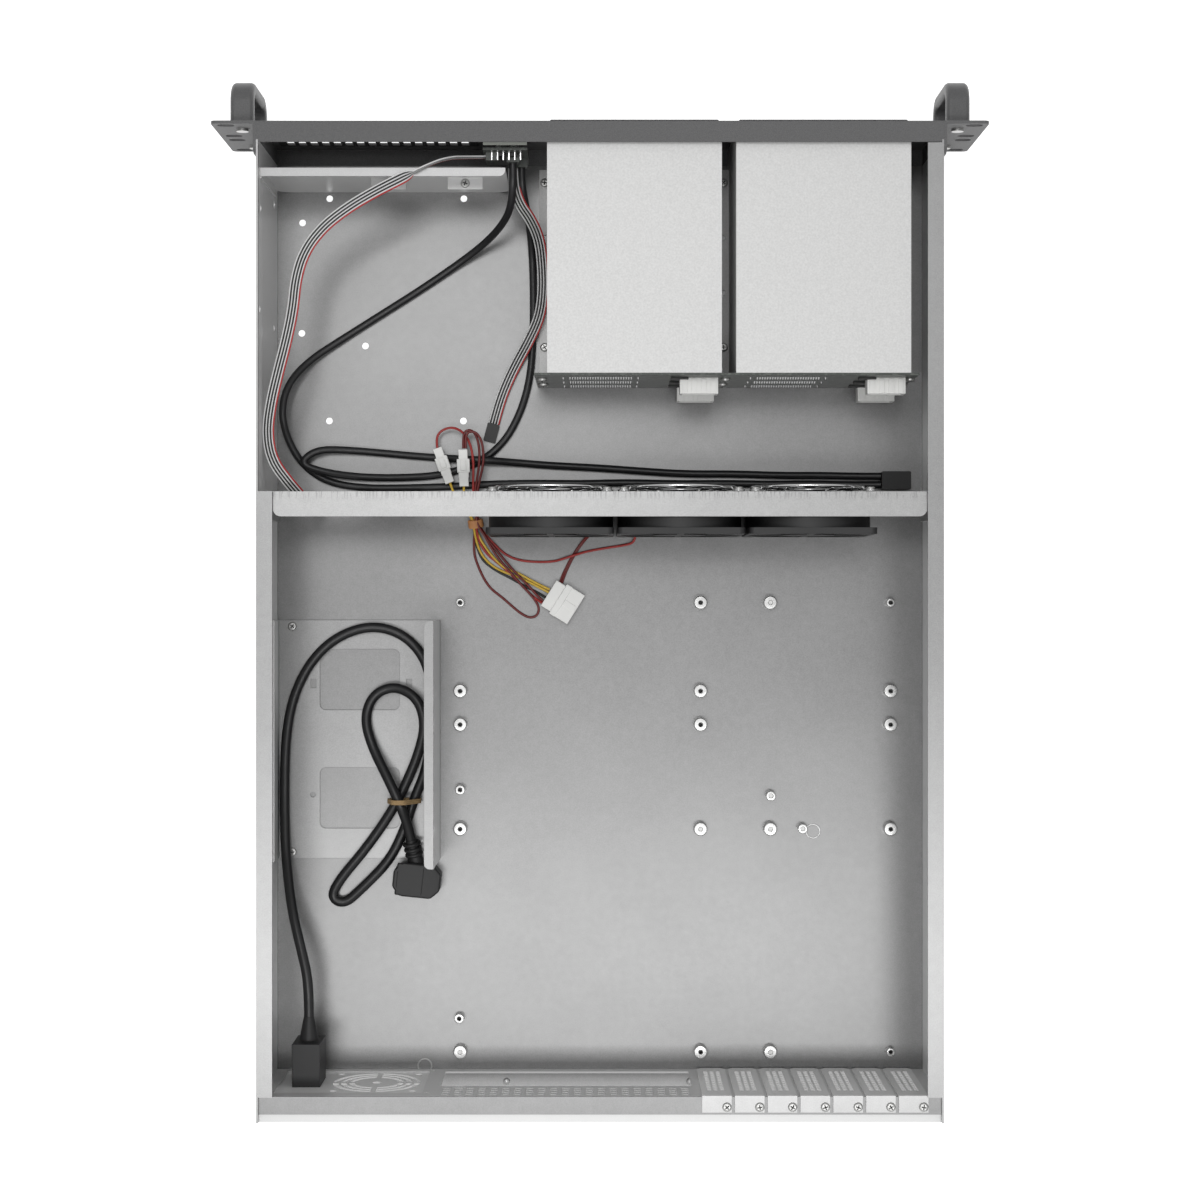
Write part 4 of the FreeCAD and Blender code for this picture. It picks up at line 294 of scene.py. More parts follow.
USB_LEAD_2 = [
    (0.0500, -0.2748, 0.0440), (0.0500, -0.2640, 0.0440), (0.0476, -0.2520, 0.0350),
    (0.0454, -0.2400, 0.0190), (0.0442, -0.2240, 0.0065), (0.0436, -0.2000, 0.0039),
    (0.0438, -0.1720, 0.0039), (0.0456, -0.1450, 0.0039), (0.0520, -0.1220, 0.0039),
    (0.0630, -0.1020, 0.0039), (0.0800, -0.0886, 0.0039), (0.1040, -0.0808, 0.0040),
    (0.1310, -0.0792, 0.0040), (0.1580, -0.0796, 0.0054), (0.1800, -0.0824, 0.0104),
    (0.1965, -0.0880, 0.0112), (0.1855, -0.0976, 0.0102), (0.1650, -0.0974, 0.0056),
    (0.1410, -0.0954, 0.0040), (0.1200, -0.0934, 0.0039), (0.1010, -0.0922, 0.0041),
    (0.0876, -0.0912, 0.0094), (0.0730, -0.0904, 0.0094), (0.0570, -0.0894, 0.0046),
    (0.0330, -0.0874, 0.0039), (0.0040, -0.0860, 0.0039), (-0.0260, -0.0838, 0.0039),
    (-0.0560, -0.0818, 0.0039), (-0.0880, -0.0819, 0.0039), (-0.1180, -0.0808, 0.0039),
    (-0.1460, -0.0809, 0.0039), (-0.1680, -0.0802, 0.0050), (-0.1840, -0.0802, 0.0060)]
for name, route, length, pieces in (("usb_lead_1", USB_LEAD_1, 0.672, ["header_plugs"]),
                                    ("usb_lead_2", USB_LEAD_2, 0.712, [])):
    lead = lead_line(f"{name}_sleeve", route, USB_RADIUS, black_pvc)
    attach(lead, "chassis")
    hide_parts(name)


# ---------------------------------------- ribbons
# Two flat ribbons of thin wires, black and white by turns, with a red wire along one edge.
# They run from the control board to the headers of the main board.

def smooth_path(route, steps=6):
    """The points of the smooth line that has a route as its control points."""
    guide = lead_line("guide", route, 0.0, None)
    guide.data.resolution_u = steps
    line = bpy.data.meshes.new_from_object(guide.evaluated_get(
        bpy.context.evaluated_depsgraph_get()))
    points = [vertex.co.copy() for vertex in line.vertices]
    bpy.data.objects.remove(guide)
    return points


UP = Vector((0, 0, 1))
RIBBON_WIRES = 8
RIBBON_PITCH = 0.00092
RED_LANE = 0.12
WIRE_SIDES = 6
LEAST_FLAT = 0.35
TWIST_SHARE = 0.4
TWIST_POINTS = 12


def ribbon(name, route, finish, on_edge=0.0):
    """Wires side by side along a smooth line, as one mesh whose first map holds the wire.

    The first share of the line stands on edge, and the ribbon then turns flat. Where the line
    climbs too steeply to say which way is across, the ribbon keeps its last way."""
    path = smooth_path(route)
    mesh = bmesh.new()
    layer = mesh.loops.layers.uv.new("wire")
    rings = []
    across = None
    for number, point in enumerate(path):
        ahead = (path[min(number + 1, len(path) - 1)] - path[max(number - 1, 0)]).normalized()
        flat = ahead.cross(UP)
        aim = flat.normalized() if flat.length > LEAST_FLAT else (across or Vector((1, 0, 0)))
        edge_points = on_edge * len(path)
        if number < edge_points:
            aim = UP
        if across is not None and aim.dot(across) < 0 and number > edge_points + TWIST_POINTS:
            aim = -aim
        across = aim if across is None else across * (1 - TWIST_SHARE) + aim * TWIST_SHARE
        across = (across - ahead * across.dot(ahead)).normalized()
        rise = across.cross(ahead).normalized()
        rings.append((point, across.copy(), rise))
    radius = RIBBON_PITCH * 0.52
    turns = [math.tau * step / WIRE_SIDES for step in range(WIRE_SIDES)]
    for wire in range(RIBBON_WIRES):
        shift = (wire - (RIBBON_WIRES - 1) / 2) * RIBBON_PITCH
        loops = []
        for point, aside, rise in rings:
            centre = point + aside * shift
            loops.append([mesh.verts.new(centre + (aside * math.cos(turn) + rise * math.sin(turn))
                                         * radius) for turn in turns])
        caps = [loops[0][::-1], loops[-1]]
        sides = [(a[k], a[(k + 1) % WIRE_SIDES], b[(k + 1) % WIRE_SIDES], b[k])
                 for a, b in zip(loops, loops[1:]) for k in range(WIRE_SIDES)]
        for corners in caps + sides:
            face = mesh.faces.new(corners)
            face.smooth = True
            for loop in face.loops:
                loop[layer].uv = ((wire + 0.5) / RIBBON_WIRES, 0.5)
    bmesh.ops.recalc_face_normals(mesh, faces=mesh.faces)
    data = bpy.data.meshes.new(name)
    mesh.to_mesh(data)
    mesh.free()
    data.materials.append(finish.material)
    return added(name, data), path


striped = Finish("striped_ribbon", (0.5, 0.5, 0.5), 0.42)
lane = striped.node("ShaderNodeSeparateXYZ", {}, {"Vector": striped.node(
    "ShaderNodeUVMap", {"uv_map": "wire"})})
odd = lane.math("MODULO", lane.math("FLOOR", lane * RIBBON_WIRES), 2.0)
stripes = striped.blend(odd, (0.02, 0.02, 0.02), (0.72, 0.72, 0.72))
striped.set("Base Color", striped.blend(lane < RED_LANE, stripes, (0.45, 0.03, 0.03)))

SWITCH_RIBBON = [
    (0.0718, -0.2775, 0.0660), (0.0830, -0.2775, 0.0660), (0.0950, -0.2752, 0.0756),
    (0.1070, -0.2690, 0.0848), (0.1230, -0.2608, 0.0848), (0.1400, -0.2528, 0.0826),
    (0.1570, -0.2434, 0.0800), (0.1730, -0.2316, 0.0776), (0.1845, -0.2170, 0.0756),
    (0.1900, -0.2000, 0.0746), (0.1918, -0.1810, 0.0740), (0.1960, -0.1610, 0.0740),
    (0.2010, -0.1420, 0.0740), (0.2056, -0.1230, 0.0734), (0.2084, -0.1040, 0.0720),
    (0.2058, -0.0870, 0.0690), (0.1970, -0.0744, 0.0650), (0.1886, -0.0640, 0.0580),
    (0.1848, -0.0576, 0.0460), (0.1840, -0.0560, 0.0310), (0.1840, -0.0558, 0.0144)]
LIGHT_RIBBON = [
    (0.0550, -0.2748, 0.0440), (0.0550, -0.2640, 0.0440), (0.0515, -0.2525, 0.0420),
    (0.0445, -0.2440, 0.0340), (0.0390, -0.2330, 0.0200), (0.0374, -0.2170, 0.0080),
    (0.0372, -0.2010, 0.0050), (0.0392, -0.1840, 0.0088), (0.0466, -0.1680, 0.0098),
    (0.0554, -0.1530, 0.0050), (0.0616, -0.1400, 0.0036), (0.0664, -0.1270, 0.0034),
    (0.0696, -0.1148, 0.0034)]
for name, route, length, on_edge in (("switch_ribbon", SWITCH_RIBBON, 0.346, 0.16),
                                     ("light_ribbon", LIGHT_RIBBON, 0.184, 0.0)):
    piece, path = ribbon(f"{name}_wires", route, striped, on_edge)
    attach(piece, "chassis")
    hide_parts(name)


# ---------------------------------------- thin wires
# Loose single wires with red, yellow or black PVC on them. They hang from the two fan plugs,
# pass the fan wall in one taped bundle and fan out to the four-pin plug.

def wire_finish(name, colour):
    finish = Finish(name, colour, 0.4)
    finish.mottled(300.0, colour, tuple(part * 0.7 for part in colour))
    return finish


WIRE_RADIUS = 0.0008
red_wire = wire_finish("red_wire", (0.42, 0.035, 0.03))
dark_red_wire = wire_finish("dark_red_wire", (0.17, 0.018, 0.016))
yellow_wire = wire_finish("yellow_wire", (0.75, 0.50, 0.06))
black_wire = wire_finish("black_wire", (0.02, 0.02, 0.02))

THIN_WIRES = [
    ("fan_wire", red_wire, 0.208, "object", [
        (0.1062, -0.0983, 0.0101), (0.1072, -0.1040, 0.0101), (0.1044, -0.1096, 0.0104),
        (0.0968, -0.1122, 0.0112), (0.0898, -0.1092, 0.0128), (0.0854, -0.1030, 0.0150),
        (0.0830, -0.0950, 0.0160), (0.0824, -0.0860, 0.0150), (0.0826, -0.0760, 0.0148),
        (0.0826, -0.0670, 0.0140), (0.0812, -0.0570, 0.0116), (0.0792, -0.0480, 0.0098),
        (0.0752, -0.0420, 0.0076), (0.0700, -0.0364, 0.0056), (0.0646, -0.0308, 0.0034),
        (0.0586, -0.0270, 0.0024), (0.0510, -0.0248, 0.0023), (0.0400, -0.0240, 0.0023),
        (0.0300, -0.0244, 0.0024), (0.0240, -0.0262, 0.0046), (0.0160, -0.0288, 0.0046),
        (0.0080, -0.0312, 0.0024), (-0.0060, -0.0336, 0.0024), (-0.0170, -0.0352, 0.0030),
        (-0.0222, -0.0368, 0.0050), (-0.0230, -0.0403, 0.0058)]),
    ("yellow_wire_1", yellow_wire, 0.095, "connector", [
        (0.0886, -0.0735, 0.0153), (0.0888, -0.0690, 0.0150), (0.0880, -0.0630, 0.0140),
        (0.0850, -0.0560, 0.0122), (0.0824, -0.0490, 0.0100), (0.0800, -0.0420, 0.0078),
        (0.0760, -0.0350, 0.0060), (0.0705, -0.0275, 0.0044), (0.0635, -0.0205, 0.0040),
        (0.0560, -0.0178, 0.0040), (0.0500, -0.0148, 0.0042), (0.0420, -0.0102, 0.0050),
        (0.0330, -0.0060, 0.0056)]),
    ("yellow_wire_2", yellow_wire, 0.105, "connector", [
        (0.0980, -0.0760, 0.0103), (0.0966, -0.0715, 0.0118), (0.0940, -0.0665, 0.0135),
        (0.0895, -0.0600, 0.0125), (0.0845, -0.0540, 0.0108), (0.0828, -0.0480, 0.0092),
        (0.0818, -0.0420, 0.0066), (0.0804, -0.0350, 0.0042), (0.0772, -0.0280, 0.0028),
        (0.0720, -0.0225, 0.0024), (0.0660, -0.0187, 0.0024), (0.0590, -0.0160, 0.0024),
        (0.0535, -0.0143, 0.0028), (0.0480, -0.0115, 0.0036), (0.0400, -0.0075, 0.0050),
        (0.0335, -0.0040, 0.0052)]),
    ("board_wire_1", dark_red_wire, 0.147, "connector", [
        (0.0890, -0.0978, 0.0155), (0.0892, -0.1050, 0.0155), (0.0876, -0.1096, 0.0156),
        (0.0828, -0.1096, 0.0158), (0.0796, -0.1040, 0.0160), (0.0784, -0.0960, 0.0160),
        (0.0786, -0.0870, 0.0158), (0.0800, -0.0780, 0.0150), (0.0818, -0.0690, 0.0142),
        (0.0806, -0.0580, 0.0125), (0.0790, -0.0475, 0.0112),
        (0.0745, -0.0400, 0.0096), (0.0690, -0.0330, 0.0078), (0.0620, -0.0245, 0.0062),
        (0.0550, -0.0165, 0.0052), (0.0460, -0.0075, 0.0046), (0.0395, 0.0000, 0.0050),
        (0.0352, 0.0030, 0.0052)]),
    ("board_wire_2", dark_red_wire, 0.234, "object", [
        (0.0874, -0.0978, 0.0170), (0.0876, -0.1044, 0.0172), (0.0858, -0.1086, 0.0174),
        (0.0806, -0.1084, 0.0176), (0.0770, -0.1030, 0.0176), (0.0757, -0.0950, 0.0172),
        (0.0760, -0.0865, 0.0165), (0.0782, -0.0780, 0.0160), (0.0800, -0.0690, 0.0160),
        (0.0812, -0.0580, 0.0140),
        (0.0800, -0.0480, 0.0122), (0.0755, -0.0415, 0.0112), (0.0716, -0.0340, 0.0096),
        (0.0656, -0.0250, 0.0080), (0.0590, -0.0178, 0.0070), (0.0535, -0.0112, 0.0062),
        (0.0478, -0.0052, 0.0048), (0.0428, 0.0005, 0.0032), (0.0398, 0.0062, 0.0024),
        (0.0412, 0.0112, 0.0023), (0.0460, 0.0128, 0.0023), (0.0518, 0.0100, 0.0023),
        (0.0580, 0.0048, 0.0023), (0.0645, -0.0010, 0.0023), (0.0715, -0.0062, 0.0023),
        (0.0760, -0.0125, 0.0023), (0.0796, -0.0200, 0.0023), (0.0826, -0.0285, 0.0024),
        (0.0828, -0.0370, 0.0036), (0.0820, -0.0440, 0.0070), (0.0812, -0.0490, 0.0084)]),
    ("board_wire_3", red_wire, 0.072, "connector", [
        (0.0812, -0.0490, 0.0108), (0.0806, -0.0430, 0.0088), (0.0785, -0.0360, 0.0060),
        (0.0742, -0.0292, 0.0042), (0.0668, -0.0232, 0.0030), (0.0606, -0.0180, 0.0024),
        (0.0545, -0.0120, 0.0024), (0.0484, -0.0056, 0.0024), (0.0425, 0.0000, 0.0030),
        (0.0368, 0.0036, 0.0050)]),
    ("board_wire_4", black_wire, 0.076, "connector", [
        (0.0830, -0.0490, 0.0086), (0.0822, -0.0430, 0.0054), (0.0810, -0.0340, 0.0024),
        (0.0776, -0.0256, 0.0021), (0.0715, -0.0205, 0.0021), (0.0650, -0.0166, 0.0021),
        (0.0592, -0.0138, 0.0021), (0.0537, -0.0106, 0.0022), (0.0463, -0.0066, 0.0026),
        (0.0398, -0.0034, 0.0036), (0.0345, 0.0000, 0.0050)]),
    ("fan_pair_1", dark_red_wire, 0.039, "object", [
        (0.0070, -0.0412, 0.0064), (0.0097, -0.0390, 0.0030), (0.0147, -0.0320, 0.0023),
        (0.0179, -0.0268, 0.0023), (0.0207, -0.0213, 0.0023), (0.0240, -0.0139, 0.0028),
        (0.0254, -0.0085, 0.0044)]),
    ("fan_pair_2", dark_red_wire, 0.039, "object", [
        (0.0086, -0.0406, 0.0064), (0.0112, -0.0380, 0.0030), (0.0162, -0.0310, 0.0023),
        (0.0194, -0.0258, 0.0023), (0.0222, -0.0204, 0.0023), (0.0256, -0.0131, 0.0028),
        (0.0270, -0.0080, 0.0044)])]
LEAD_OF = {"fan_wire": "fan_lead", "yellow_wire_1": "board_power_lead"}
for name, finish, length, far_end, route in THIN_WIRES:
    wire = lead_line(f"{name}_strand", route, WIRE_RADIUS, finish)
    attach(wire, "chassis")
    if name in LEAD_OF:
        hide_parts(LEAD_OF[name])


# ---------------------------------------- base tray
# One sheet of galvanised steel, cut, folded up at the sides and turned in along the top. The
# floor carries pressed rings and two rivets.

def dress(finish, *names):
    """Give pieces of the case their finish."""
    for name in names:
        for holder in nodes[name].material_slots:
            holder.material = finish.material


def only(piece):
    """Select one piece alone."""
    bpy.ops.object.select_all(action="DESELECT")
    bpy.context.view_layer.objects.active = piece
    piece.select_set(True)


def choose(piece, kind, wanted):
    """Open a piece for editing with the faces or edges selected that pass a test."""
    only(piece)
    bpy.ops.object.mode_set(mode="EDIT")
    bpy.ops.mesh.select_mode(type=kind)
    bpy.ops.mesh.select_all(action="DESELECT")
    form = bmesh.from_edit_mesh(piece.data)
    for part in form.faces if kind == "FACE" else form.edges:
        middle = sum((corner.co for corner in part.verts), Vector()) / len(part.verts)
        way = part.normal if kind == "FACE" else part.verts[1].co - part.verts[0].co
        part.select_set(wanted(middle, way))
    bmesh.update_edit_mesh(piece.data)


def close():
    bpy.ops.object.mode_set(mode="OBJECT")


def every(middle, way):
    return True


def level_edge(middle, way):
    return abs(way.z) < 1e-6


def eased(piece, wanted, offset, segments, clamp=False):
    """Round the edges of a piece that pass a test."""
    choose(piece, "EDGE", wanted)
    bpy.ops.mesh.bevel(offset=offset, segments=segments, affect="EDGES", clamp_overlap=clamp)
    close()


def sized(piece, value):
    """Stretch the form of a piece along its axes."""
    choose(piece, "FACE", every)
    bpy.ops.transform.resize(value=value)
    close()


def start(kind, finish, **settings):
    """Start a piece from a primitive at its size and place."""
    bpy.ops.object.select_all(action="DESELECT")
    getattr(bpy.ops.mesh, f"primitive_{kind}_add")(**settings)
    piece = bpy.context.object
    bpy.ops.object.transform_apply(location=False, rotation=False, scale=True)
    piece.data.materials.append(finish.material)
    return piece


def block(low, high, finish, edge=0.0, steps=2):
    """A block between two corners with eased edges."""
    low, high = Vector(low), Vector(high)
    piece = start("cube", finish, size=1.0, location=(low + high) / 2, scale=high - low)
    if edge:
        eased(piece, every, edge, steps, clamp=True)
    return piece


def joined(pieces):
    """Join pieces of one moulding or one set into one mesh."""
    bpy.ops.object.select_all(action="DESELECT")
    for piece in pieces:
        piece.select_set(True)
    bpy.context.view_layer.objects.active = pieces[0]
    bpy.ops.object.join()
    return pieces[0]


def fixed(piece, name, slot, *replaced, body="chassis", smooth=35):
    """Finish a piece: its place goes into its mesh, and it rides on its body."""
    only(piece)
    bpy.ops.object.transform_apply(location=True, rotation=True, scale=True)
    bpy.ops.object.shade_smooth_by_angle(angle=math.radians(smooth))
    even = piece.modifiers.new("even", "WEIGHTED_NORMAL")
    even.keep_sharp = True
    bpy.ops.object.modifier_apply(modifier=even.name)
    piece.name = name
    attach(piece, body)
    if replaced:
        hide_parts(*replaced)
    return piece


def placed(model, places):
    """Copies of a model, each with its own mesh, at a list of matrices, as one piece."""
    pieces = []
    for place in places:
        piece = added(model.name, model.data.copy())
        piece.data.transform(place)
        pieces.append(piece)
    bpy.data.objects.remove(model)
    return joined(pieces)


def spot(place, turn=0.0, tilt=None):
    """A place for a copy: turned about an axis, and tipped so that its top faces a way."""
    matrix = Matrix.Translation(place)
    if tilt is not None:
        matrix = matrix @ Vector(tilt).to_track_quat("Z", "Y").to_matrix().to_4x4()
    return matrix @ Matrix.Rotation(turn, 4, "Z")


def folded(name, finish, radius):
    """A node again, with the small radius that its bends and cut edges really have."""
    piece = added(f"{name}_form", nodes[name].data.copy())
    choose(piece, "FACE", every)
    bpy.ops.mesh.remove_doubles(threshold=0.000001)
    bpy.ops.mesh.dissolve_limited(angle_limit=math.radians(1.0))
    close()
    ease = piece.modifiers.new("ease", "BEVEL")
    ease.width = radius
    ease.segments = 2
    ease.limit_method = "ANGLE"
    ease.angle_limit = math.radians(40)
    bpy.ops.object.modifier_apply(modifier=ease.name)
    piece.data.materials.clear()
    piece.data.materials.append(finish.material)
    slots = {part["node"]: part["material_slot"] for part in frame["record"]["subparts"]}
    return fixed(piece, piece.name, slots[name], name,
                 body=name if name in frame["bodies"] else "chassis")


def sheet_steel(name, shades, wall=None, heights=(0.003, 0.085), metallic=0.85, top=None):
    """Galvanised sheet, with a fine grain, faint clouds and a dull shine.

    Between two heights, on the upright walls, the coat is painted paler and made less metallic:
    painted light for walls that catch light from the side. Above them it may be painted in
    lighter shades of its own: painted light on the top lips."""
    steel = Finish(name, shades[0], 0.3, metallic)
    steel.grain = steel.noise(1400.0, 1.0)
    tone = steel.grain * 0.55 + steel.noise(16.0, 3.0) * 0.25 + steel.noise(220.0) * 0.2
    steel.colour = steel.blend(tone, *shades)
    # Painted light: the upright walls get a paler coat, and the top may get a lighter one,
    # standing in for how the lamps light them.
    if wall:
        level = steel.along("Z")
        upright = (level > heights[0]) * (level < heights[1])
        pale = steel.blend(tone, tuple(part * 0.8 for part in wall), wall)
        if top:
            steel.colour = steel.blend(level > heights[1], steel.colour, steel.blend(tone, *top))
        steel.colour = steel.blend(upright, steel.colour, pale)
        steel.set("Metallic", metallic - upright * 0.55)
    steel.set("Base Color", steel.colour)
    steel.set("Roughness", steel.grain * 0.14 + 0.27)
    steel.bump(steel.grain, 0.00002, 0.4)
    return steel


DULL_STEEL = ((0.15, 0.15, 0.15), (0.31, 0.31, 0.31))
PLAIN_STEEL = ((0.19, 0.19, 0.19), (0.37, 0.37, 0.37))
BRIGHT_STEEL = ((0.32, 0.32, 0.32), (0.60, 0.60, 0.598))
FLANGE_STEEL = ((0.23, 0.23, 0.23), (0.43, 0.43, 0.43))
# Paler coats painted on upright walls, as painted light.
PAINTED_LIT_WALL_STEEL = (0.72, 0.72, 0.718)
PAINTED_LIT_TRAY_WALL_STEEL = (0.82, 0.82, 0.818)
SHEET = 0.0012
RINGS = ((0.1151, 0.3070), (-0.1400, 0.1528))
RIVETS = ((0.0614, 0.3172), (-0.059, 0.3172))

# Painted light: the tray's walls are painted paler and its top lips lighter than its floor,
# though all are one sheet.
folded("base_tray", sheet_steel("tray_steel", DULL_STEEL, PAINTED_LIT_TRAY_WALL_STEEL, top=FLANGE_STEEL),
       0.0004)
ring_steel = sheet_steel("ring_steel", BRIGHT_STEEL)
ring = start("torus", ring_steel, major_radius=0.0045, minor_radius=0.0005, major_segments=40,
             minor_segments=8)
sized(ring, (1.0, 1.0, 0.5))
fixed(placed(ring, [spot((x, y, SHEET)) for x, y in RINGS]), "pressed_rings", "galvanised_steel")
rivet = start("uv_sphere", ring_steel, radius=0.0022, segments=20, ring_count=10)
choose(rivet, "FACE", lambda middle, way: middle.z < 0)
bpy.ops.mesh.delete(type="FACE")
close()
sized(rivet, (1.0, 1.0, 0.55))
choose(rivet, "EDGE", lambda middle, way: abs(middle.z) < 1e-6)
bpy.ops.mesh.edge_face_add()
close()
fixed(placed(rivet, [spot((x, y, SHEET)) for x, y in RIVETS]), "tray_rivets",
      "galvanised_steel")


# ---------------------------------------- screws
# Zinc plated pan-head screws, cold headed with a cross recess. The same kind holds every
# sheet of the case, and a longer one holds the fans.

zinc = Finish("zinc_screws", (0.5, 0.5, 0.49), 0.3, 0.9)
zinc.worn(700.0, 0.25, 0.2)
# The faces inside the cross recess are painted near black: painted shade in the recess.
painted_shade_recess = Finish("screw_recess_painted_shade", (0.03, 0.03, 0.03), 0.5, 0.6)
painted_shade_recess.grained(2500.0, 0.00002, 0.5)
HEAD = 0.0029
HEAD_RISE = 0.0015


def extruded(way):
    """Draw the selected faces out."""
    bpy.ops.mesh.extrude_region_move(TRANSFORM_OT_translate={"value": way})


def pan_screw(head, rise, core, length):
    """A screw that points down, with the underside of its head at the origin."""
    screw = start("cylinder", zinc, vertices=24, radius=head, depth=rise,
                  location=(0, 0, rise / 2))
    bpy.ops.object.transform_apply(location=True)
    eased(screw, lambda middle, way: middle.z > rise * 0.9 and level_edge(middle, way),
          rise * 0.75, 4)
    choose(screw, "FACE", lambda middle, way: way.z < -0.9 and middle.z < 1e-6)
    bpy.ops.mesh.inset(thickness=head - core)
    extruded((0, 0, -length))
    close()
    for wide, deep in ((0.55, 0.12), (0.12, 0.55)):
        arm = block((-head * wide, -head * deep, rise * 0.35),
                    (head * wide, head * deep, rise * 2), zinc)
        only(screw)
        recess = screw.modifiers.new("recess", "BOOLEAN")
        recess.operation = "DIFFERENCE"
        recess.solver = "EXACT"
        recess.object = arm
        bpy.ops.object.modifier_apply(modifier=recess.name)
        bpy.data.objects.remove(arm)
    # Painted shade: the recess faces take the near-black finish.
    screw.data.materials.append(painted_shade_recess.material)
    choose(screw, "FACE", lambda middle, way: 0 < middle.z < rise * 0.97
           and max(abs(middle.x), abs(middle.y)) < head * 0.6)
    screw.active_material_index = 1
    bpy.ops.object.material_slot_assign()
    close()
    return screw


def solids(name):
    """The lowest and highest corner of each separate solid in a node."""
    form = bmesh.new()
    form.from_mesh(nodes[name].data)
    bmesh.ops.remove_doubles(form, verts=form.verts, dist=0.000001)
    left = set(form.verts)
    boxes = []
    while left:
        group = [left.pop()]
        for corner in group:
            for edge in corner.link_edges:
                other = edge.other_vert(corner)
                if other in left:
                    left.remove(other)
                    group.append(other)
        places = [corner.co for corner in group]
        boxes.append((Vector(map(min, zip(*places))), Vector(map(max, zip(*places)))))
    form.free()
    return sorted(boxes, key=lambda box: tuple(round(part, 4) for part in box[0]))


def screw_spots(name, head, rear=1):
    """Where each screw of a node sits, and the way that its head faces."""
    spots = []
    for number, (low, high) in enumerate(solids(name)):
        size = high - low
        axis = max(range(3), key=lambda side: abs(size[side] - 2 * head))
        side = {0: -1 if low.x > 0 else 1, 1: rear, 2: 1}[axis]
        tilt = Vector([side if part == axis else 0 for part in range(3)])
        place = (low + high) / 2
        place[axis] = high[axis] if side > 0 else low[axis]
        spots.append(spot(place - tilt * HEAD_RISE, 0.7 * number, tilt=tilt))
    return spots


sheet_spots = screw_spots("sheet_screws", HEAD)
fixed(placed(pan_screw(HEAD, HEAD_RISE, HEAD / 2, 0.002), sheet_spots), "case_screws",
      "zinc_screws", "sheet_screws")
dress(zinc, "handle_screws")


# ---------------------------------------- front panel
# A folded steel channel with a dark textured paint, and two ears with the same paint. The
# bow handles are cast and have a satin black coat.

charcoal = Finish("charcoal_paint", (0.09, 0.09, 0.092), 0.55)
charcoal.mottled(1900.0, (0.055, 0.055, 0.056), (0.17, 0.17, 0.172), 1.0)
charcoal.grained(1900.0, 0.00006, 0.8)
for name in ("front_panel", "ear_left", "ear_right"):
    folded(name, charcoal, 0.0005)

satin = Finish("handle_finish", (0.08, 0.08, 0.082), 0.42)
satin.mottled(1500.0, (0.07, 0.07, 0.071), (0.125, 0.125, 0.127), 1.0)
satin.grained(1500.0, 0.00003, 0.5)
dress(satin, "handle_left", "handle_right")

mesh_black = Finish("black_mesh", (0.02, 0.02, 0.02), 0.6)
mesh_black.grained(1500.0, 0.00003, 0.5)
dress(mesh_black, "vent_grille")


# ---------------------------------------- drive cages
# Two boxes folded from zinc plated sheet with a smooth even surface. Each is screwed down
# through a foot flange.

plated = Finish("cage_steel", (0.72, 0.72, 0.715), 0.5, 0.35)
plated.mottled(900.0, (0.56, 0.56, 0.555), (0.74, 0.74, 0.735), 1.0)
for name in ("drive_cage_left", "drive_cage_middle"):
    folded(name, plated, 0.0004)


# ---------------------------------------- carriers and levers
# Black moulded trays that slide in the cages, each with a grey moulded lever on a pin. The
# lever swings out to draw its tray.

moulded = Finish("black_plastic", (0.014, 0.014, 0.0145), 0.5)
moulded.grained(1300.0, 0.00004, 0.6)
lever_grey = Finish("lever_plastic", (0.1, 0.1, 0.105), 0.4)
lever_grey.grained(1300.0, 0.00003, 0.5)
for number in range(1, 7):
    folded(f"carrier_{number}", moulded, 0.0003)
    folded(f"carrier_lever_{number}", lever_grey, 0.0004)
dress(moulded, "drive_sockets", "reset_button", "power_button")


# ---------------------------------------- backplanes
# Two circuit boards screwed to the back of the cages. Each has three rows of soldered drive
# pins and two white power sockets with ribs and four pins.

board_green = Finish("circuit_board", (0.05, 0.06, 0.055), 0.4)
traces = board_green.noise(350.0, 4.0) > 0.55
board_green.set("Base Color", board_green.blend(traces, (0.05, 0.056, 0.05),
                                                (0.085, 0.095, 0.085)))
solder = Finish("solder", (0.8, 0.8, 0.8), 0.25, 1.0)
solder.worn(900.0, 0.15, 0.2)
chip_black = Finish("chip_body", (0.02, 0.02, 0.02), 0.5)
chip_black.grained(1800.0, 0.00002, 0.6)
nylon = Finish("white_nylon", (0.8, 0.79, 0.76), 0.45)
nylon.worn(500.0, 0.35, 0.2)
nylon.mottled(60.0, (0.78, 0.78, 0.76), (0.9, 0.9, 0.88))
PIN_PITCH = 0.0016
PIN_ROW = 0.0013
PEG_REACH = 0.0235
BOARD_EASE = 0.0002

pins = []
parts = []
for side in ("left", "middle"):
    folded(f"backplane_{side}", board_green, BOARD_EASE)
    low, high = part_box(f"backplane_{side}")
    rear_face = high.y
    for bay_low, bay_high in [box for box in solids("drive_sockets")
                              if low.x < box[0].x < high.x]:
        level = (bay_low.z + bay_high.z) / 2
        middle = (bay_low.x + bay_high.x) / 2
        pins += [Vector((middle + PIN_PITCH * column, rear_face, level + rise))
                 for column in range(-12, 13) for rise in (-PIN_ROW, PIN_ROW)]
        pins += [Vector((middle + reach, rear_face, level))
                 for reach in (-PEG_REACH, PEG_REACH)]
        parts.append(block((middle - 0.055, rear_face, level - 0.003),
                           (middle - 0.044, rear_face + 0.0014, level + 0.004), chip_black,
                           BOARD_EASE))
bead = start("cone", solder, vertices=8, radius1=0.0006, radius2=0.0002, depth=0.0012)
choose(bead, "FACE", lambda middle, way: way.z < -0.9)
bpy.ops.mesh.inset(thickness=0.0001, depth=0.0)
close()
fixed(placed(bead, [spot(place + Vector((0, 0.0006, 0)), tilt=(0, 1, 0)) for place in pins]),
      "solder_pins", "circuit_board")
fixed(joined(parts), "backplane_chips", "circuit_board")

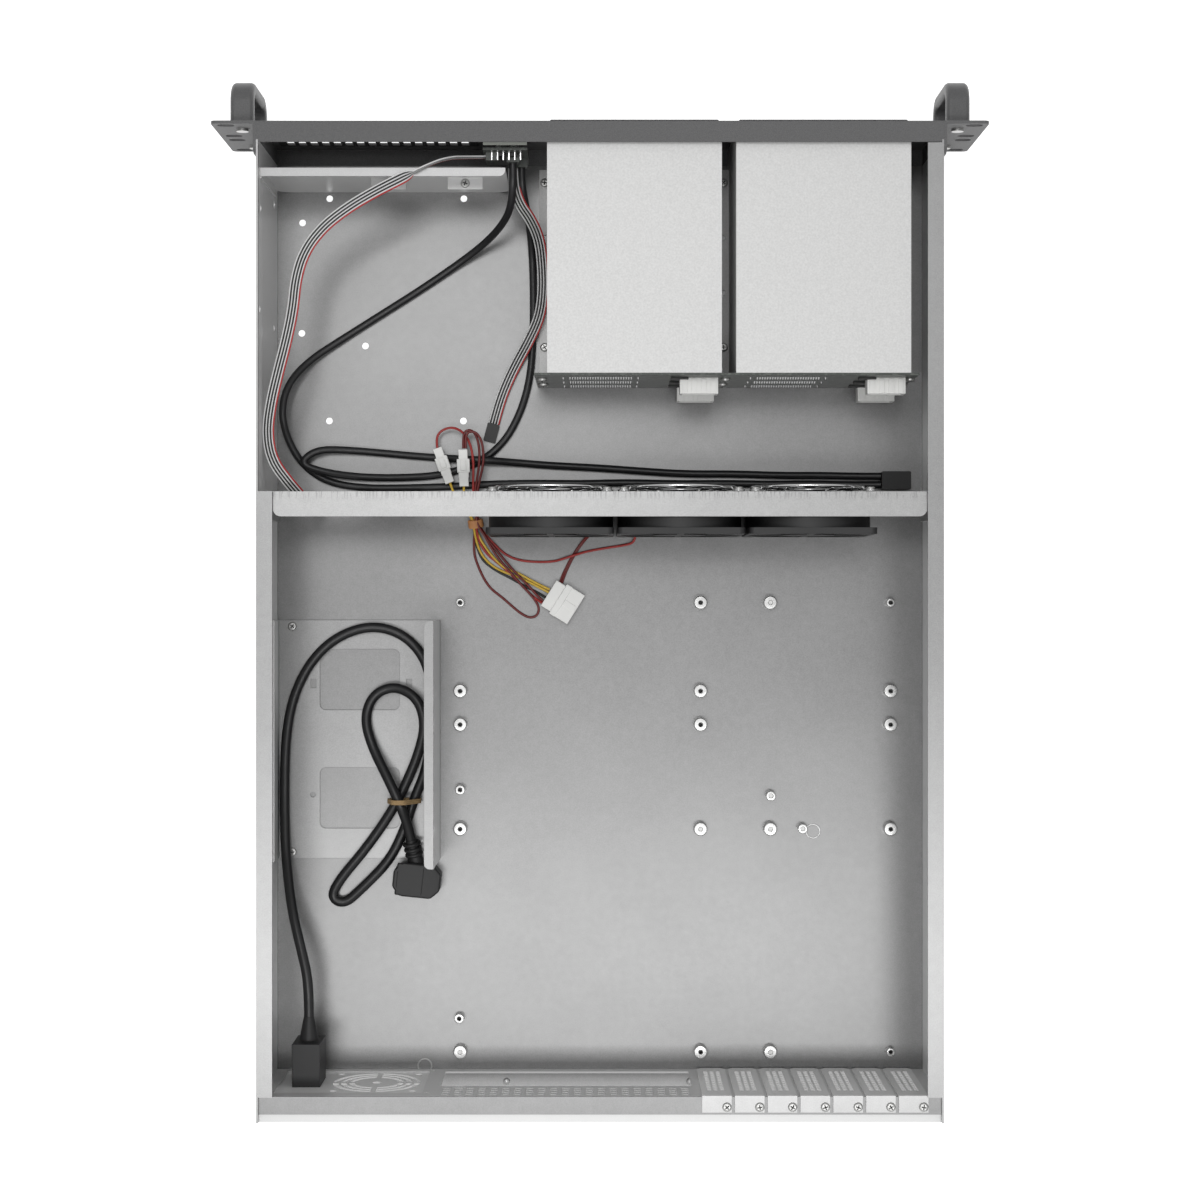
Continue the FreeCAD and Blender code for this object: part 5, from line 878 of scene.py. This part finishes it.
sockets = []
for low, high in solids("board_power_sockets"):
    wide = high.x - low.x
    body = block(low, high, nylon, 0.0003)
    choose(body, "FACE", lambda middle, way: way.y > 0.99 and middle.y > high.y - 0.0001)
    bpy.ops.mesh.inset(thickness=0.0014)
    extruded((0, low.y - high.y + 0.002, 0))
    close()
    sockets.append(body)
    for number in range(4):
        middle = low.x + wide * (number + 0.5) / 4
        sockets.append(block((middle - 0.0017, low.y + 0.0008, high.z - 0.0003),
                             (middle + 0.0017, high.y, high.z + 0.0006), nylon, 0.0003))
        pin = start("cylinder", solder, vertices=12, radius=0.001, depth=0.0075,
                    location=(middle, low.y + 0.005, (low.z + high.z) / 2),
                    rotation=(math.pi / 2, 0, 0))
        eased(pin, level_edge, 0.0003, 2)
        sockets.append(pin)
fixed(joined(sockets), "ribbed_sockets", "white_nylon", "board_power_sockets")

BOARD_SCREW_LINES = (0.0365, -0.0790, -0.1955)
BOARD_SCREW_LEVELS = (0.061, 0.027)
board_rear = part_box("backplane_left")[1].y
fixed(placed(pan_screw(head=0.0033, rise=0.002, core=0.0014, length=0.001),
             [spot((x, board_rear, z), x, tilt=(0, 1, 0))
              for x in BOARD_SCREW_LINES for z in BOARD_SCREW_LEVELS]),
      "backplane_screws", "zinc_screws")


# ---------------------------------------- controls
# A small board behind the front panel: a pair of USB sockets in plated shells, two push
# switches, pin headers and clear light pipes.

dress(board_green, "control_board")
shell = Finish("usb_shell", (0.7, 0.7, 0.7), 0.3, 1.0)
shell.worn(500.0, 0.22, 0.15)
folded("usb_sockets", shell, 0.0002)
lens_clear = Finish("light_lens", (0.7, 0.75, 0.7), 0.15)
lens_clear.worn(500.0, 0.1, 0.1)
dress(lens_clear, "indicator_lights")
low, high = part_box("control_board")
board_edge = Finish("board_edge", (0.42, 0.44, 0.40), 0.5)
board_edge.grained(1500.0, 0.00003, 0.5)
control_parts = [block((low.x + 0.0002, low.y - 0.0001, high.z - 0.0002),
                       (high.x - 0.0002, low.y + 0.0017, high.z + 0.0002), board_edge)]
for number in range(6):
    across = low.x + 0.0040 + 0.0036 * number
    control_parts.append(block((across, high.y - 0.0060, high.z - 0.0052),
                               (across + 0.0007, high.y - 0.0001, high.z - 0.0045),
                               solder, 0.0001))
for across in (0.0065, 0.0140):
    control_parts.append(block((low.x + across, high.y - 0.0070, high.z - 0.0105),
                               (low.x + across + 0.0050, high.y - 0.0030, high.z - 0.0064),
                               chip_black, 0.0004))
fixed(joined(control_parts), "control_parts", "circuit_board")


# ---------------------------------------- front bracket and fan wall
# Two bridges folded from galvanised sheet and screwed to the tray. The fan wall's top flange
# shows the marks of the press brake along its bend.

# Painted light: the bracket's upright web is painted paler than its flange and foot.
folded("front_bracket", sheet_steel("bracket_steel", FLANGE_STEEL, PAINTED_LIT_WALL_STEEL, (0.003, 0.0812)),
       0.0005)

low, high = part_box("fan_wall")
PRESSED_STEEL = ((0.27, 0.27, 0.27), (0.52, 0.52, 0.518))
MARK_COLOUR = (0.2, 0.2, 0.2)
pressed = sheet_steel("pressed_steel", PRESSED_STEEL)
strokes = pressed.noise(1.0, 1.0, stretch=(900.0, 90.0, 1.0))
front_third = pressed.node("ShaderNodeMapRange", {}, {
    "Value": pressed.along("Y"), "From Min": low.y + 0.001, "From Max": low.y + 0.006,
    "To Min": 1.0, "To Max": 0.0})
marks = (strokes > 0.56) * front_third * (pressed.along("Z") > high.z - 0.001)
pressed.set("Base Color", pressed.blend(marks * 0.5, pressed.colour, MARK_COLOUR))
pressed.bump(pressed.grain * 0.4 - marks, 0.00008, 0.5)
folded("fan_wall", pressed, 0.0006)


# ---------------------------------------- fans
# Three black moulded fans with seven blades each, their chrome wire guards, and the screws
# that hold both to the wall.

for number in (1, 2, 3):
    folded(f"fan_frame_{number}", moulded, 0.0004)
    dress(moulded, f"fan_rotor_{number}")

chrome = Finish("chrome_wire", (0.8, 0.8, 0.8), 0.12, 1.0)
chrome.worn(300.0, 0.08, 0.1)
WIRE = 0.0009
GUARD_RINGS = (0.0365, 0.0285, 0.020)
EYE_RADIUS = 0.0032
RING_GAP = 0.0042
SPOKE_GAP = 0.0032
SPOKE_START = 0.0185
wall_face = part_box("fan_wall")[0].y
guards = []
for low, high in solids("fan_guards"):
    middle = (low + high) / 2
    corner = (high.x - low.x) / 2 - 0.004
    for radius in GUARD_RINGS:
        guards.append(start("torus", chrome, major_radius=radius, minor_radius=WIRE,
                            major_segments=72, minor_segments=10, rotation=(math.pi / 2, 0, 0),
                            location=(middle.x, wall_face - RING_GAP, middle.z)))
    for number in range(4):
        turn = math.radians(45 + 90 * number)
        eye = Vector((middle.x + corner * math.cos(turn) * math.sqrt(2), wall_face - WIRE,
                      middle.z + corner * math.sin(turn) * math.sqrt(2)))
        way = Vector((math.cos(turn), 0, math.sin(turn)))
        guards.append(start("torus", chrome, major_radius=EYE_RADIUS, minor_radius=WIRE * 0.8,
                            major_segments=28, minor_segments=10, rotation=(math.pi / 2, 0, 0),
                            location=eye))
        spoke = start("circle", chrome, vertices=10, radius=WIRE, fill_type="NGON",
                      location=Vector((middle.x, wall_face - SPOKE_GAP, middle.z))
                      + way * SPOKE_START)
        choose(spoke, "FACE", every)
        bpy.ops.transform.rotate(value=math.pi / 2, orient_axis="Y",
                                 center_override=spoke.location)
        close()
        spoke.data.transform(Matrix.Rotation(-turn, 4, "Y"))
        reach = (eye - spoke.location).dot(way) - 0.0040
        choose(spoke, "FACE", every)
        for out, back in ((reach - 0.002, 0), (0.001, 0.0006), (0.0008, 0.0016)):
            extruded(way * out + Vector((0, back, 0)))
        bpy.ops.mesh.select_all(action="SELECT")
        bpy.ops.mesh.normals_make_consistent(inside=False)
        close()
        guards.append(spoke)
fixed(joined(guards), "wire_guards", "chrome_wire", "fan_guards", smooth=50)

FAN_HEAD = 0.00292
fixed(placed(pan_screw(FAN_HEAD, HEAD_RISE, 0.0021, 0.0068),
             screw_spots("fan_screws", FAN_HEAD, rear=-1)), "guard_screws", "zinc_screws",
      "fan_screws")


# ---------------------------------------- supply shelf and rear panel
# Folded galvanised sheets. The slot covers are zinc plated, and the end plate is screwed on
# from outside with the mains inlet in it.

# Painted light: the upright walls of the shelf and the rear panel are painted paler than their
# flat faces.
folded("supply_shelf", sheet_steel("shelf_steel", PLAIN_STEEL, PAINTED_LIT_WALL_STEEL, (0.009, 0.0642)),
       0.0005)
rear_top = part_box("rear_panel")[1].z
folded("rear_panel", sheet_steel("rear_steel", DULL_STEEL, PAINTED_LIT_WALL_STEEL,
                                 (0.002, rear_top - 0.0008)), 0.0003)
cover_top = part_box("slot_covers")[1].z
# Painted light: the uprights of the slot covers and the end plate are painted paler than their
# flat faces.
cover_steel = sheet_steel("cover_steel", BRIGHT_STEEL, (0.85, 0.85, 0.845),
                          (0.002, cover_top - 0.0006), 0.6)
folded("slot_covers", cover_steel, 0.00025)
folded("supply_end_plate", cover_steel, 0.00025)
folded("power_inlet", moulded, 0.0004)


# ---------------------------------------- board standoffs
# Turned collars, plated and pressed into the floor, each with a flat ring on top round a threaded
# bore. The deep bores are painted near black, as painted shade. A few bores get a shallow floor
# painted pale, as painted light for the bright ground seen through them.

collar_steel = Finish("collar_steel", (0.58, 0.58, 0.575), 0.28, 0.9)
collar_steel.worn(600.0, 0.2, 0.2)
# Painted shade: the deep bores have a near-black finish.
painted_shade_bore = Finish("threaded_bore_painted_shade", (0.05, 0.05, 0.05), 0.4, 0.8)
painted_shade_bore.bump((painted_shade_bore.along("Z") * 12000.0).sine(), 0.0001, 0.8)
# Painted light: a pale finish on shallow bore floors stands in for the bright ground seen through
# open bores.
painted_light_bore = Finish("painted_light_bore", (0.85, 0.85, 0.84), 0.5)
painted_light_bore.grained(1200.0, 0.00004, 0.5)
PAINTED_LIGHT_BORES = ((-0.1119, 0.0023), (-0.0661, 0.1508), (-0.1119, 0.1508), (-0.1119, 0.1292),
          (-0.1328, 0.1507), (0.0930, 0.2966), (-0.1119, 0.2966))
MORE_COLLARS = ((0.0916, 0.1252), (-0.1119, 0.1292), (-0.1328, 0.1507), (0.0922, 0.2750))
SMALL_COLLAR = 0.0032
BORE = 0.0017
BORE_EASE = 0.0004
BORE_DEPTH = 0.0045
PAINTED_LIGHT_DEPTH = 0.0003
COLLAR_EASE = 0.16
collar_spots = [((low + high) / 2, (high.x - low.x) / 2) for low, high in
                solids("board_standoffs")]
level = collar_spots[0][0].z
collar_spots += [(Vector((x, y, level)), SMALL_COLLAR) for x, y in MORE_COLLARS]
low, high = solids("board_standoffs")[0]
height = high.z - low.z
collars = []
for middle, radius in collar_spots:
    painted_light = any(math.hypot(middle.x - x, middle.y - y) < 0.004 for x, y in PAINTED_LIGHT_BORES)
    collar = start("cylinder", collar_steel, vertices=28, radius=radius, depth=height,
                   location=middle)
    collar.data.materials.append((painted_light_bore if painted_light else painted_shade_bore).material)
    bpy.ops.object.transform_apply(location=True)
    top = middle.z + height / 2
    eased(collar, lambda middle, way: middle.z > top - 1e-5 and level_edge(middle, way),
          radius * COLLAR_EASE, 3)
    choose(collar, "FACE", lambda middle, way: way.z > 0.99 and middle.z > top - 1e-5)
    bpy.ops.mesh.inset(thickness=radius * (1 - COLLAR_EASE) - BORE)
    bpy.ops.mesh.inset(thickness=BORE_EASE, depth=-BORE_EASE)
    extruded((0, 0, -(PAINTED_LIGHT_DEPTH if painted_light else BORE_DEPTH)))
    bpy.ops.mesh.select_more()
    collar.active_material_index = 1
    bpy.ops.object.material_slot_assign()
    close()
    collars.append(collar)
fixed(joined(collars), "threaded_collars", "brass_standoffs", "board_standoffs")


# ---------------------------------------- plugs, tie and tape
# Moulded plugs on the leads: a black mains plug with a ribbed relief, black header plugs,
# white nylon fan connectors with latches, and a white four-pin power connector. A rubber band
# ties the mains lead, and paper tape holds the thin wires.

def stepped(sections, finish, place, turn, edge=0.0003):
    """A moulding of blocks in line, each (width, start, end, low, high), turned in place."""
    pieces = [block((-wide / 2, begin, low), (wide / 2, end, high), finish, edge)
              for wide, begin, end, low, high in sections]
    piece = joined(pieces)
    only(piece)
    bpy.ops.object.transform_apply(location=True)
    piece.data.transform(spot(place, math.radians(turn)))
    return piece


FAN_PLUG = [(0.0058, 0.0, 0.0075, 0.0004, 0.0052), (0.0082, 0.0062, 0.0150, 0.0, 0.0058),
            (0.0036, 0.0070, 0.0138, 0.0055, 0.0066), (0.0066, 0.0142, 0.0182, 0.0002, 0.0054),
            (0.0060, 0.0178, 0.0240, 0.0004, 0.0052)]
FAN_PLUG_PLACES = (((0.1062, -0.0982, 0.0075), 20), ((0.0892, -0.0970, 0.0125), 2))
fixed(joined([stepped(FAN_PLUG, nylon, place, turn) for place, turn in FAN_PLUG_PLACES]),
      "fan_plugs", "white_nylon", "fan_connectors")

FOUR_PIN = [(0.0222, -0.0106, 0.0030, 0.0, 0.0072), (0.0196, 0.0024, 0.0106, 0.0004, 0.0068),
            (0.0226, -0.0010, 0.0034, 0.0008, 0.0078), (0.0040, -0.0100, -0.0010, 0.0068, 0.0076)]
FOUR_PIN_PLACE = (0.0246, 0.0018, 0.0014)
fixed(stepped(FOUR_PIN, nylon, FOUR_PIN_PLACE, -122, 0.0006), "four_pin_plug", "white_nylon",
      "power_connector")

MAINS_PLUG_PLACE = (0.1194, 0.1836, 0.0015)
MAINS_PLUG_TURN = math.radians(-6)
head = block((-0.0155, -0.011, 0.0), (0.0155, 0.011, 0.016), moulded)
bpy.ops.object.transform_apply(location=True)
eased(head, lambda middle, way: abs(way.z) > 0.01, 0.0055, 1)
eased(head, every, 0.0014, 3)
choose(head, "FACE", lambda middle, way: way.z > 0.99 and middle.z > 0.0155)
bpy.ops.mesh.inset(thickness=0.0016, depth=-0.0005)
close()
hump = block((-0.0045, -0.0105, 0.013), (0.0135, 0.0105, 0.0159), moulded, 0.0012, 3)
head = joined([head, hump])
bpy.ops.object.transform_apply(location=True)
head.data.transform(spot(MAINS_PLUG_PLACE, MAINS_PLUG_TURN))
tail_start = Vector(POWER_LEAD[-1])
tail_way = (tail_start - Vector(POWER_LEAD[-2])).normalized()
TAIL = 0.017
tail = start("cone", moulded, vertices=32, radius1=0.0036, radius2=0.0054, depth=TAIL)
eased(tail, level_edge, 0.0006, 2)
tail.data.transform(spot(tail_start + tail_way * TAIL / 2, tilt=tail_way))
plug_parts = [head, tail]
for number in range(3):
    rib = start("torus", moulded, major_radius=0.0047, minor_radius=0.0013, major_segments=36,
                minor_segments=10)
    rib.data.transform(spot(tail_start + tail_way * (0.003 + 0.0036 * number), tilt=tail_way))
    plug_parts.append(rib)
fixed(joined(plug_parts), "mains_plug", "black_plastic", "power_plug")

dress(moulded, "header_plugs")
rubber = Finish("rubber_band", (0.5, 0.34, 0.17), 0.6)
rubber.mottled(300.0, (0.42, 0.27, 0.13), (0.58, 0.4, 0.2))
rubber.bump((rubber.along("Y") * 6000.0).sine(), 0.0003, 0.8)
dress(rubber, "lead_band")

tape = Finish("paper_tape", (0.5, 0.22, 0.08), 0.6)
tape.mottled(250.0, (0.42, 0.17, 0.06), (0.62, 0.3, 0.12))
tape.grained(900.0, 0.0001, 0.6, 2.0)
wrap = start("cylinder", tape, vertices=28, radius=0.0050, depth=0.0056)
eased(wrap, level_edge, 0.0008, 2)
sized(wrap, (1.0, 0.62, 1.0))
WRAP_PLACE = (0.0812, -0.0490, 0.0100)
wrap.data.transform(spot(WRAP_PLACE, tilt=(-0.12, 1.0, -0.3)))
fixed(wrap, "wire_tape", "rubber_band")


# ---------------------------------------- sizes
# A helper that turns a box into lists of plain numbers.

def corners(box):
    return [[float(value) for value in corner] for corner in box]
